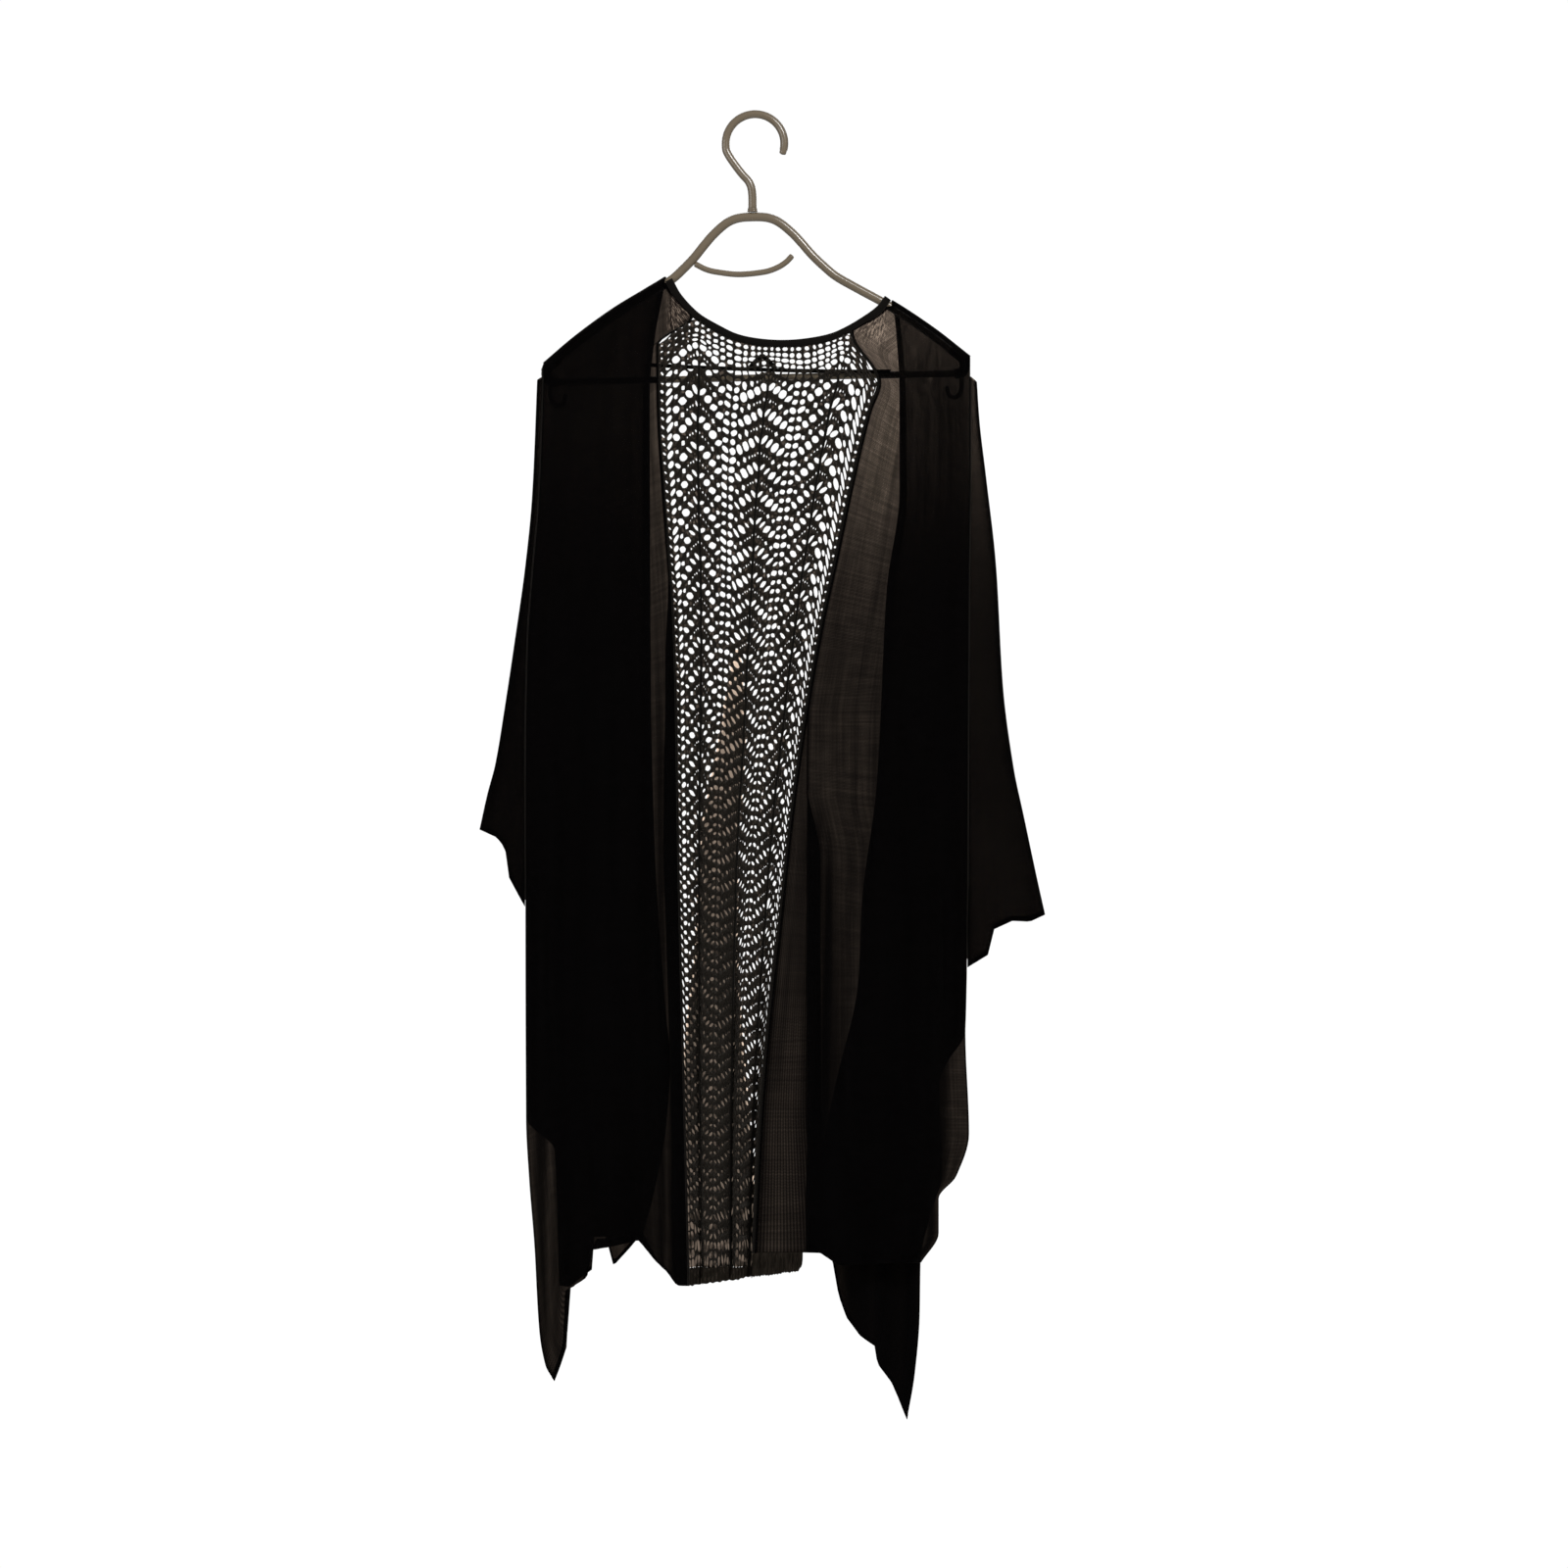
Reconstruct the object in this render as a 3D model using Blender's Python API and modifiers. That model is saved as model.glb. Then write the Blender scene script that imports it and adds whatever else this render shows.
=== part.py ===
"""An open-front kimono cardigan in sheer knit with a lace back, hung on a plastic tube hanger.

Metres, +Z up. The origin is the inner crest of the hook, where a rail carries the hanger. +X runs to the
right of the garment's back, and -Y is the side that its lace back faces. The back hangs at -Y, the two open
fronts at +Y, and the hanger stands between them. Every cloth wall is lofted through rows that are worked out
from its edges, its hem and a table of folds, and then thickened.
"""

import math
from collections import namedtuple

import bmesh
import bpy
from mathutils import Matrix, Vector

# Walls and gaps
WALL = 0.0012  # thickness of every cloth wall
SEAM = 0.0006  # between the edges of two cloth pieces, measured on their middle surfaces
LAY = 0.0003  # between a hard piece and its seat

# Hanger
HOOK_TUBE = 0.00375  # radius
HOOK_BEND = 0.0279  # radius of the hook's middle line
HOOK_CENTRE_X = 0.0005
HOOK_CENTRE_Z = HOOK_TUBE - HOOK_BEND
HOOK_TIP_DEG = -19.0
HOOK_LEAVE_DEG = 214.0
HOOK_FOOT_Z = -0.0856
ARM_TUBE = 0.0042
ARCH_Z = -0.0939
NECK_X = -0.0019
COLLAR_RADIUS = 0.0050
BAR_TUBE = 0.0033
BAR_Z = -0.2465
BAR_END = 0.1897
RAIL_TUBE = 0.0028
STRAP_TUBE = 0.0023
HANG_TILT = math.radians(1.2)  # the arms hang this much out of level, right side up

# Cloth
CURL = ARM_TUBE + 0.0004 + WALL / 2  # radius of the cloth's middle surface over an arm
DRAPE_DEPTH = 0.012  # how far each layer stands from the middle plane
DRAPE_FALL = 0.060  # height below an arm over which it gets there
LACE_DEPTH = 0.022  # how far the pleated lace's front edges stand out low down
SIDE_ROUND = 0.035  # width over which a layer rounds away to its side edge
SIDE_SEAM = 0.0009  # half the distance between the layers at a side seam
SLEEVE_HALF = 0.0070  # half the depth of a sleeve's mouth
CURL_ANGLES = (3, 35, 65, 90)
BINDING = 0.0016  # radius of the neck binding
TAPE_LEFT = -0.0990
TAPE_RIGHT = 0.1290
TAPE_TOP = -0.2335
TAPE_DROP = 0.006  # how much lower its right end is
TAPE_HEIGHT = 0.0037
TAPE_THICKNESS = 0.0010
TAPE_END_DEPTH = 0.0098  # of its ends behind the middle plane
TAPE_BOW = 0.0044  # how much nearer the middle plane its centre is

# Lace
CHEVRON = 0.0254  # height of one repeat
CHEVRON_RISE = 0.0080  # how much higher a leaf's spine is than its edges
LACE_CLEAR_LEFT = 0.0002  # beyond the seam's gap, for the slope of the first face
LACE_CLEAR_RIGHT = 0.0008  # and for the last return, which stands across the seam
HOLE_HALF_WIDTH = 0.0034
HOLE_HALF_HEIGHT = 0.0050
LACE_FOOT_Z = -1.0895  # where the gathered hem band takes over from the lace
BAND_TOP_RIGHT = -1.0745  # upper edge of the band where it goes on under the right side panel
BAND_REACH = 0.047  # how far it goes on there
BAND_FOOT = ((0.0, -1.1055), (1.0, -1.0975), (2.0, -1.0915))  # share of the lace's width, z; past 1 it is the reach
BAND_LACE_DEPTH = 0.8  # of its depth there that it keeps from the lace, the rest is the panel's

# Middle line of one arm, from the neck outwards, in the hanger's own level frame: distance, z
ARM_LINE = (
    (0.0000, -0.0939), (0.0140, -0.0949), (0.0251, -0.0995), (0.0372, -0.1097), (0.0465, -0.1200),
    (0.0558, -0.1311), (0.0670, -0.1423), (0.0790, -0.1525), (0.1010, -0.1655), (0.1300, -0.1823),
    (0.1674, -0.2083), (0.1960, -0.2316),
)
# Its turned end, down and back to the bar: distance, z
ARM_TURN = (
    (0.1978, -0.2350), (0.1985, -0.2395), (0.1968, -0.2440), (0.1930, -0.2463), (0.1900, BAR_Z),
)
# Strap hook under each end of the bar: distance, z
STRAP_HOOK = (
    (0.1950, -0.2507), (0.1952, -0.2590), (0.1930, -0.2660), (0.1880, -0.2690), (0.1830, -0.2665),
    (0.1808, -0.2590),
)
# Tie rail from the left arm, below the arch, to its free tip: x, z
TIE_RAIL = (
    (-0.0557, -0.1388), (-0.0460, -0.1436), (-0.0353, -0.1462), (-0.0149, -0.1484),
    (0.0084, -0.1462), (0.0210, -0.1422), (0.0295, -0.1370), (0.0353, -0.1311),
)
# Neck of the hook under its bend: x, z
HOOK_NECK = (
    (-0.0186, -0.0474), (-0.0121, -0.0530), (-0.0066, -0.0585), (-0.0031, -0.0650),
    (-0.0019, -0.0740),
)

# Armhole line of the body, outline of each sleeve, side edges of the body: z, x
ARMHOLE_LEFT = (
    (-0.2400, -0.2005), (-0.2911, -0.2018), (-0.3674, -0.2050), (-0.4259, -0.2100),
    (-0.4929, -0.2150), (-0.6000, -0.2172), (-0.7500, -0.2176),
)
ARMHOLE_RIGHT = (
    (-0.2400, 0.2048), (-0.3385, 0.2048), (-0.4259, 0.2038), (-0.5500, 0.2030), (-0.8100, 0.2018),
)
SLEEVE_LEFT = (
    (-0.2450, -0.2065), (-0.2632, -0.2072), (-0.3292, -0.2098), (-0.3674, -0.2120),
    (-0.4259, -0.2180), (-0.5022, -0.2288), (-0.5580, -0.2372), (-0.6138, -0.2465),
    (-0.6417, -0.2539), (-0.6752, -0.2613),
)
SLEEVE_RIGHT = (
    (-0.2450, 0.2111), (-0.2874, 0.2139), (-0.3385, 0.2199), (-0.4259, 0.2297), (-0.5394, 0.2362),
    (-0.6175, 0.2465), (-0.6612, 0.2558), (-0.7217, 0.2688), (-0.7542, 0.2762),
)
BACK_SIDE_LEFT = ARMHOLE_LEFT + (
    (-0.9486, -0.2170), (-1.0063, -0.2139), (-1.0686, -0.2088), (-1.1504, -0.2040),
    (-1.1830, -0.1981), (-1.1978, -0.1897),
)
FRONT_SIDE_LEFT = ARMHOLE_LEFT + ((-0.9486, -0.2170), (-0.9800, -0.1900), (-1.1086, -0.1860))
BACK_SIDE_RIGHT = ARMHOLE_RIGHT + (
    (-0.8668, 0.2004), (-0.9635, 0.2037), (-1.0035, 0.1916), (-1.0249, 0.1748), (-1.0574, 0.1748),
    (-1.0853, 0.1581),
)
FRONT_SIDE_RIGHT = ARMHOLE_RIGHT + (
    (-0.8668, 0.2004), (-0.8965, 0.1832), (-0.9151, 0.1758), (-1.0007, 0.1786), (-1.0416, 0.1674),
    (-1.0853, 0.1581), (-1.1383, 0.1572), (-1.1932, 0.1525), (-1.2360, 0.1451),
)

# Edges of the lace, and the yoke corners above it: z, x
LACE_LEFT = (
    (-0.2158, -0.0911), (-0.2790, -0.0902), (-0.3534, -0.0856), (-0.4650, -0.0772),
    (-0.5394, -0.0744), (-0.7068, -0.0716), (-0.8649, -0.0679), (-1.0898, -0.0623),
)
LACE_RIGHT = (
    (-0.2511, 0.1181), (-0.2790, 0.1088), (-0.3441, 0.0930), (-0.4185, 0.0772), (-0.4836, 0.0632),
    (-0.5673, 0.0484), (-0.6603, 0.0353), (-0.7533, 0.0251), (-0.8742, 0.0121), (-0.9579, 0.0056),
    (-1.0898, -0.0009),
)
YOKE_LEFT = ((-0.1480, -0.0850), (-0.1560, -0.0838), (-0.1711, -0.0752), (-0.1888, -0.0588))
YOKE_RIGHT = ((-0.1680, 0.1305), (-0.1814, 0.1234), (-0.1907, 0.1122), (-0.2027, 0.0918))
# Inner edges of the two fronts: z, x
FRONT_EDGE_LEFT = (
    (-0.1500, -0.0840), (-0.1674, -0.0870), (-0.2093, -0.0949), (-0.2604, -0.0995),
    (-0.5394, -0.0986), (-0.6882, -0.0949), (-0.8556, -0.0837), (-0.8928, -0.0800),
    (-0.9551, -0.0837), (-1.0249, -0.0967), (-1.0593, -0.1060),
)
FRONT_EDGE_RIGHT = (
    (-0.1700, 0.1300), (-0.2000, 0.1340), (-0.2604, 0.1376), (-0.3534, 0.1376), (-0.4464, 0.1256),
    (-0.6324, 0.1163), (-0.7440, 0.1023), (-0.8184, 0.0986), (-0.9300, 0.0744), (-1.0044, 0.0605),
    (-1.0723, 0.0484),
)
# Neckline of the back, from the left shoulder to the right one: x, z
NECKLINE = (
    (-0.0812, -0.1545), (-0.0716, -0.1711), (-0.0549, -0.1888), (-0.0353, -0.2009),
    (-0.0149, -0.2102), (0.0121, -0.2148), (0.0400, -0.2148), (0.0688, -0.2102), (0.0874, -0.2027),
    (0.1070, -0.1907), (0.1190, -0.1814), (0.1265, -0.1716),
)
# Upper edge of the lace: x, z, and how far its wall stops below that line
LACE_TOP = (
    (-0.0911, -0.2158, 0.0014), (-0.0549, -0.1888, 0.0034), (-0.0353, -0.2009, 0.0032),
    (-0.0149, -0.2102, 0.0030), (0.0121, -0.2148, 0.0028), (0.0400, -0.2148, 0.0028),
    (0.0688, -0.2102, 0.0030), (0.0874, -0.2027, 0.0032), (0.1181, -0.2511, 0.0014),
)
# Hems, from the side edge inwards: x, z
HEM_BACK_LEFT = (
    (-0.1897, -1.1978), (-0.1767, -1.1616), (-0.1761, -1.1104), (-0.1580, -1.0974),
    (-0.1507, -1.0620), (-0.1060, -1.0556), (-0.0921, -1.0807), (-0.0725, -1.1055),
    (-0.0620, -1.1055),
)
HEM_BACK_RIGHT = (
    (-0.0009, -1.0745), (0.0470, -1.0745), (0.0700, -1.0760), (0.0780, -1.0860), (0.1581, -1.0853),
)
CUFF_LEFT = (
    (-0.2613, -0.6752), (-0.2446, -0.6826), (-0.2362, -0.6930), (-0.2350, -0.7161),
    (-0.2176, -0.7480),
)
CUFF_RIGHT = (
    (0.2018, -0.8060), (0.2228, -0.7930), (0.2241, -0.7710), (0.2446, -0.7617), (0.2613, -0.7626),
    (0.2762, -0.7560),
)
HEM_FRONT_LEFT = (
    (-0.1860, -1.1086), (-0.1761, -1.1104), (-0.1544, -1.0937), (-0.1535, -1.0630),
    (-0.1414, -1.0621), (-0.1339, -1.0900), (-0.1190, -1.0742), (-0.1060, -1.0593),
)
HEM_FRONT_RIGHT = (
    (0.0484, -1.0723), (0.0670, -1.0769), (0.0735, -1.0816), (0.0800, -1.1197), (0.0874, -1.1402),
    (0.1004, -1.1569), (0.1144, -1.1662), (0.1172, -1.1830), (0.1311, -1.2025), (0.1451, -1.2360),
)

# Heights of a panel's rows at its side edge and at its inner edge: z_side, z_inner
ROWS_BACK_LEFT = (
    (-0.262, -0.1711), (-0.285, -0.1888), (-0.315, -0.2158), (-0.360, -0.2790), (-0.420, -0.3534),
    (-0.475, -0.4100), (-0.530, -0.4650), (-0.585, -0.5394), (-0.640, -0.6000), (-0.700, -0.6550),
    (-0.745, -0.7068), (-0.795, -0.7600), (-0.845, -0.8150), (-0.895, -0.8649), (-0.9486, -0.9300),
    (-1.0063, -0.9850), (-1.0686, -1.0300), (-1.1200, -1.0650), (-1.1504, -1.0850),
    (-1.1830, -1.0980), (-1.1978, -1.1055),
)
ROWS_BACK_RIGHT = (
    (-0.258, -0.1814), (-0.270, -0.1907), (-0.285, -0.2027), (-0.315, -0.2511), (-0.345, -0.2790),
    (-0.400, -0.3441), (-0.455, -0.4185), (-0.510, -0.4836), (-0.570, -0.5673), (-0.630, -0.6130),
    (-0.680, -0.6603), (-0.730, -0.7070), (-0.780, -0.7533), (-0.8128, -0.8100), (-0.8668, -0.8742),
    (-0.9150, -0.9150), (-0.9635, -0.9579), (-1.0035, -1.0000), (-1.0249, -1.0300),
    (-1.0574, -1.0550), (-1.0853, -1.0745),
)
ROWS_FRONT_LEFT = (
    (-0.262, -0.175), (-0.285, -0.2093), (-0.320, -0.2604), (-0.360, -0.320), (-0.420, -0.390),
    (-0.480, -0.460), (-0.540, -0.530), (-0.600, -0.600), (-0.660, -0.660), (-0.720, -0.720),
    (-0.780, -0.780), (-0.840, -0.840), (-0.900, -0.8928), (-0.9486, -0.940), (-0.980, -0.985),
    (-1.040, -1.025), (-1.1086, -1.0593),
)
ROWS_FRONT_RIGHT = (
    (-0.262, -0.185), (-0.280, -0.215), (-0.310, -0.2604), (-0.360, -0.320), (-0.420, -0.390),
    (-0.480, -0.460), (-0.540, -0.530), (-0.600, -0.600), (-0.660, -0.660), (-0.720, -0.720),
    (-0.780, -0.780), (-0.8668, -0.830), (-0.8965, -0.870), (-0.9151, -0.900), (-0.960, -0.940),
    (-1.0007, -0.980), (-1.0416, -1.010), (-1.0853, -1.035), (-1.1383, -1.050), (-1.1932, -1.062),
    (-1.2360, -1.0723),
)
# Rows of a sleeve: z at the armhole, z at the outer fold
ROWS_SLEEVE_LEFT = (
    (-0.246, -0.249), (-0.285, -0.285), (-0.340, -0.340), (-0.400, -0.395), (-0.460, -0.445),
    (-0.520, -0.495), (-0.580, -0.540), (-0.640, -0.585), (-0.690, -0.630), (-0.742, -0.6752),
)
ROWS_SLEEVE_RIGHT = (
    (-0.246, -0.251), (-0.285, -0.285), (-0.340, -0.340), (-0.405, -0.400), (-0.470, -0.460),
    (-0.535, -0.520), (-0.600, -0.580), (-0.665, -0.640), (-0.730, -0.695), (-0.7980, -0.7542),
)
# Half the depth between the layers along the side edges: z, half depth
OPEN_LEFT = (
    (-0.240, CURL), (-0.350, 0.0070), (-0.600, 0.0075), (-0.680, 0.0055), (-0.745, SIDE_SEAM),
    (-0.930, SIDE_SEAM), (-1.000, 0.0040), (-1.100, 0.0065),
)
OPEN_RIGHT = (
    (-0.240, CURL), (-0.350, 0.0070), (-0.620, 0.0075), (-0.720, 0.0055), (-0.800, SIDE_SEAM),
    (-0.865, SIDE_SEAM), (-0.930, 0.0040), (-1.050, 0.0065),
)

# Folds of a layer. push is along +Y, so it is inward on the back and outward on the fronts.
Fold = namedtuple("Fold", "x_high x_low z_start z_full half_width push")
FOLDS_BACK_LEFT = (
    Fold(-0.168, -0.178, -0.46, -0.75, 0.010, 0.0060),
    Fold(-0.192, -0.196, -0.40, -0.80, 0.009, -0.0050),
    Fold(-0.142, -0.136, -0.34, -0.70, 0.013, -0.0060),
    Fold(-0.112, -0.112, -0.45, -0.80, 0.009, 0.0045),
    Fold(-0.083, -0.082, -0.48, -0.64, 0.006, 0.0070),
)
FOLDS_BACK_RIGHT = (
    Fold(0.066, 0.054, -0.60, -0.76, 0.007, 0.0090),
    Fold(0.105, 0.086, -0.45, -0.80, 0.012, -0.0055),
    Fold(0.138, 0.130, -0.55, -0.76, 0.009, 0.0060),
    Fold(0.168, 0.158, -0.38, -0.80, 0.013, -0.0065),
    Fold(0.188, 0.184, -0.50, -0.80, 0.008, 0.0040),
)
FOLDS_FRONT_LEFT = (
    Fold(-0.120, -0.112, -0.34, -0.80, 0.011, 0.0060),
    Fold(-0.145, -0.142, -0.40, -0.85, 0.010, -0.0050),
    Fold(-0.172, -0.168, -0.38, -0.80, 0.012, 0.0060),
)
FOLDS_FRONT_RIGHT = (
    Fold(0.148, 0.082, -0.36, -0.90, 0.012, 0.0065),
    Fold(0.165, 0.112, -0.42, -0.90, 0.010, -0.0050),
    Fold(0.180, 0.140, -0.38, -0.90, 0.012, 0.0065),
)

# Pleats of the lace, left to right: visible face and hidden return, as shares of its real width
Pleat = namedtuple("Pleat", "face back")
PLEATS = (Pleat(0.153, 0.096), Pleat(0.277, 0.115), Pleat(0.215, 0.144))
# Real width of the lace where it hangs narrower than it lies flat: z, width
LACE_WIDTH = (
    (-0.3600, 0.1730), (-0.4325, 0.1560), (-0.5860, 0.1440), (-0.6975, 0.1285), (-0.9114, 0.1190),
    (-1.0898, 0.1125),
)


def smooth(share):
    """0 to 1 with soft ends."""
    share = min(1.0, max(0.0, share))
    return share * share * (3.0 - 2.0 * share)


def follow(rows, at, column=1):
    """A column's value in a table, straight between its rows, at a place along its first column."""
    ordered = sorted(rows)
    if at <= ordered[0][0]:
        return ordered[0][column]
    for low, high in zip(ordered, ordered[1:]):
        if at <= high[0]:
            share = (at - low[0]) / (high[0] - low[0])
            return low[column] + share * (high[column] - low[column])
    return ordered[-1][column]


def tilted(x, z):
    """A point of the level hanger where it hangs: x, z."""
    turn = Matrix.Rotation(HANG_TILT, 2)
    offset = turn @ Vector((x, z - ARCH_Z))
    return NECK_X + offset.x, ARCH_Z + offset.y


def mirrored(points):
    """A line from the left end to the right end, given its right half from the middle outwards."""
    return [(-x, z) for x, z in reversed(points[1:])] + list(points)


HUNG_ARMS = [tilted(x, z) for x, z in mirrored(ARM_LINE + ((0.2120, -0.2450),))]


def arm_top(x):
    """Height of the cloth's middle surface over an arm, and the cosine of its slope there."""
    step = 0.004
    slope = (follow(HUNG_ARMS, x + step) - follow(HUNG_ARMS, x - step)) / (2 * step)
    lean = 1.0 / math.hypot(1.0, slope)
    return follow(HUNG_ARMS, x) + CURL / lean, lean


def layer_depth(x, z, side_x, side_depth, plain_depth):
    """Distance of a layer from the middle plane: round an arm, out to its drape, and in again at the side."""
    top, lean = arm_top(x)
    below = (top - z) * lean
    if below < CURL:
        return math.sqrt(max(0.0, CURL**2 - (CURL - below) ** 2))
    hang = CURL + (plain_depth - CURL) * smooth((below - CURL) / DRAPE_FALL)
    rounded = smooth(abs(x - side_x) / SIDE_ROUND)
    return side_depth + (hang - side_depth) * rounded


def fold_push(folds, x, z):
    """Displacement along +Y of all folds that pass a point."""
    push = 0.0
    for fold in folds:
        grown = smooth((fold.z_start - z) / (fold.z_start - fold.z_full))
        middle = fold.x_high + (fold.x_low - fold.x_high) * smooth((fold.z_start - z) / 0.7)
        push += fold.push * grown * math.exp(-(((x - middle) / fold.half_width) ** 2))
    return push


def lace_front(z):
    """Distance of the lace's front edges from the middle plane."""
    return DRAPE_DEPTH + (LACE_DEPTH - DRAPE_DEPTH) * smooth((LACE_TOP[-1][1] - 0.05 - z) / 0.28)


def back_y(x, z, side, opening, lace_edge, folds):
    """Place along Y of the back layer, whose depth grows from its side to the lace."""
    side_x = follow(side, z)
    edge_x = follow(lace_edge, z)
    share = smooth((x - side_x) / (edge_x - side_x))
    plain = DRAPE_DEPTH + (lace_front(z) - DRAPE_DEPTH) * share
    depth = layer_depth(x, z, side_x, follow(opening, z), plain)
    edge_fade = smooth(abs(x - side_x) / 0.012) * smooth((abs(x - edge_x) - 0.001) / 0.006)
    return -depth + fold_push(folds, x, z) * edge_fade


def front_y(x, z, side, opening, folds):
    """Place along Y of a front layer."""
    side_x = follow(side, z)
    depth = layer_depth(x, z, side_x, follow(opening, z), DRAPE_DEPTH)
    return depth + fold_push(folds, x, z) * smooth(abs(x - side_x) / 0.012)


def back_left(x, z):
    return back_y(x, z, BACK_SIDE_LEFT, OPEN_LEFT, LACE_LEFT, FOLDS_BACK_LEFT)


def back_right(x, z):
    return back_y(x, z, BACK_SIDE_RIGHT, OPEN_RIGHT, LACE_RIGHT, FOLDS_BACK_RIGHT)


def front_left(x, z):
    return front_y(x, z, FRONT_SIDE_LEFT, OPEN_LEFT, FOLDS_FRONT_LEFT)


def front_right(x, z):
    return front_y(x, z, FRONT_SIDE_RIGHT, OPEN_RIGHT, FOLDS_FRONT_RIGHT)


def material(name, colour, roughness, metallic=0.0):
    made = bpy.data.materials.new(name)
    made.use_nodes = True
    made.diffuse_color = (*colour, 1.0)
    shader = made.node_tree.nodes["Principled BSDF"]
    shader.inputs["Base Color"].default_value = (*colour, 1.0)
    shader.inputs["Roughness"].default_value = roughness
    shader.inputs["Metallic"].default_value = metallic
    return made


def object_of(mesh, surface):
    made = bpy.data.objects.new(mesh.name, mesh)
    made.data.materials.append(surface)
    bpy.data.collections["kimono_cardigan"].objects.link(made)
    return made


def wall_of(mesh, surface, thickness=WALL):
    """A closed cloth wall from an open surface."""
    mesh.shade_smooth()
    made = object_of(mesh, surface)
    solid = made.modifiers.new("wall", "SOLIDIFY")
    solid.thickness = thickness
    solid.offset = 0.0
    return made


def lofted(name, sections):
    """An open surface through sections with the same number of points."""
    mesh = bpy.data.meshes.new(name)
    shape = bmesh.new()
    rings = [[shape.verts.new(point) for point in section] for section in sections]
    for upper, lower in zip(rings, rings[1:]):
        for a, b, c, d in zip(upper, upper[1:], lower[1:], lower):
            shape.faces.new((a, d, c, b))
    shape.to_mesh(mesh)
    shape.free()
    return mesh


def panel(name, rows, columns, side, inner, hem, depth, surface):
    """A body panel lofted from its shoulder to its hem, between a side edge and an inner edge."""
    inwards = 1.0 if side[0][1] < inner[0][1] else -1.0
    start_x = (follow(side, -0.24) + inwards * SEAM / 2, follow(inner, 0.0))
    sections = []
    for angle in CURL_ANGLES:
        section = []
        for step in range(columns + 1):
            x = start_x[0] + (start_x[1] - start_x[0]) * step / columns
            top, lean = arm_top(x)
            z = top - CURL * (1.0 - math.cos(math.radians(angle))) / lean
            section.append((x, depth(x, z), z))
        sections.append(section)
    last = (follow(side, rows[-1][0]), follow(inner, rows[-1][1]))
    for index, (z_side, z_inner) in enumerate(rows):
        down = (index + 1) / len(rows)
        x_side = follow(side, z_side) + inwards * SEAM / 2
        x_inner = follow(inner, z_inner) - inwards * SEAM / 2
        section = []
        for step in range(columns + 1):
            across = step / columns
            x = x_side + (x_inner - x_side) * across
            straight = z_side + (z_inner - z_side) * across
            top_x = start_x[0] + (start_x[1] - start_x[0]) * across
            top_line = arm_top(start_x[0])[0] * (1.0 - across) + arm_top(start_x[1])[0] * across
            top_bow = (arm_top(top_x)[0] - top_line) * (1.0 - down) ** 3
            last_x = last[0] + (last[1] - last[0]) * across
            last_line = rows[-1][0] + (rows[-1][1] - rows[-1][0]) * across
            hem_bow = (follow(hem, last_x) - last_line) * down**5
            z = straight + top_bow + hem_bow
            section.append((x, depth(x, z), z))
        sections.append(section)
    return wall_of(lofted(name, sections), surface)


def pleat_angle(width, real_width):
    """Turn of a pleat's return at which the pleated lace is as wide as it hangs."""
    low, high = 0.0, math.pi / 2
    for _ in range(40):
        middle = (low + high) / 2
        reach = sum(
            real_width
            * (math.sqrt(pleat.face**2 - (pleat.back * math.sin(middle)) ** 2) + pleat.back * math.cos(middle))
            for pleat in PLEATS
        )
        low, high = (middle, high) if reach > width else (low, middle)
    return low


def lace_point(share, z):
    """Point of the pleated lace at a share of its real width: x, y, z."""
    left = follow(LACE_LEFT, z) + SEAM / 2 + LACE_CLEAR_LEFT
    width = follow(LACE_RIGHT, z) - SEAM / 2 - LACE_CLEAR_RIGHT - left
    real = max(width, follow(LACE_WIDTH, z)) if z < LACE_WIDTH[0][0] else width
    turn = pleat_angle(width, real)
    x, depth, passed = left, 0.0, 0.0
    for pleat in PLEATS:
        face_turn = math.asin(pleat.back * math.sin(turn) / pleat.face)
        for length, angle in ((pleat.face, face_turn), (pleat.back, -turn)):
            run = min(length, max(0.0, share - passed)) * real
            x += run * math.cos(angle)
            depth += run * math.sin(angle)
            passed += length
    return x, depth - lace_front(z), z


def lace_columns():
    """Shares of the lace's width where its columns meet, on the pleats' edges, with the wide faces halved."""
    shares = [0.0]
    for pleat in PLEATS:
        halves = 2 if pleat.face > 0.2 else 1
        shares += [shares[-1] + pleat.face * part / halves for part in range(1, halves + 1)]
        shares.append(shares[-1] + pleat.back)
    return shares


def lace_mesh(name):
    """The lace's middle surface: columns of chevrons with a cut hole in each cell."""
    shares = lace_columns()
    repeats = round((LACE_TOP[0][1] - LACE_FOOT_Z) / CHEVRON)
    # Even columns' edges are a leaf's spine, odd ones its foot
    rises = [CHEVRON_RISE / 2 if column % 2 == 0 else -CHEVRON_RISE / 2 for column in range(len(shares))]
    left, right = follow(LACE_LEFT, -0.3), follow(LACE_RIGHT, -0.25)
    mesh = bpy.data.meshes.new(name)
    shape = bmesh.new()
    grid = []
    for row in range(repeats + 1):
        line = []
        for share, rise in zip(shares, rises):
            guess = left + (right - left) * share
            top = follow(LACE_TOP, guess) - follow(LACE_TOP, guess, 2)
            down = row / repeats
            level = top + (LACE_FOOT_Z - top) * down
            z = level + rise * math.sin(math.pi * down) ** 0.25
            line.append(Vector(lace_point(share, z)))
        grid.append(line)
    corners = [[shape.verts.new(point) for point in line] for line in grid]
    for row in range(repeats):
        for column in range(len(shares) - 1):
            cell = (
                corners[row][column], corners[row + 1][column], corners[row + 1][column + 1], corners[row][column + 1],
            )
            cut_cell(shape, cell)
    shape.to_mesh(mesh)
    shape.free()
    return mesh


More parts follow.
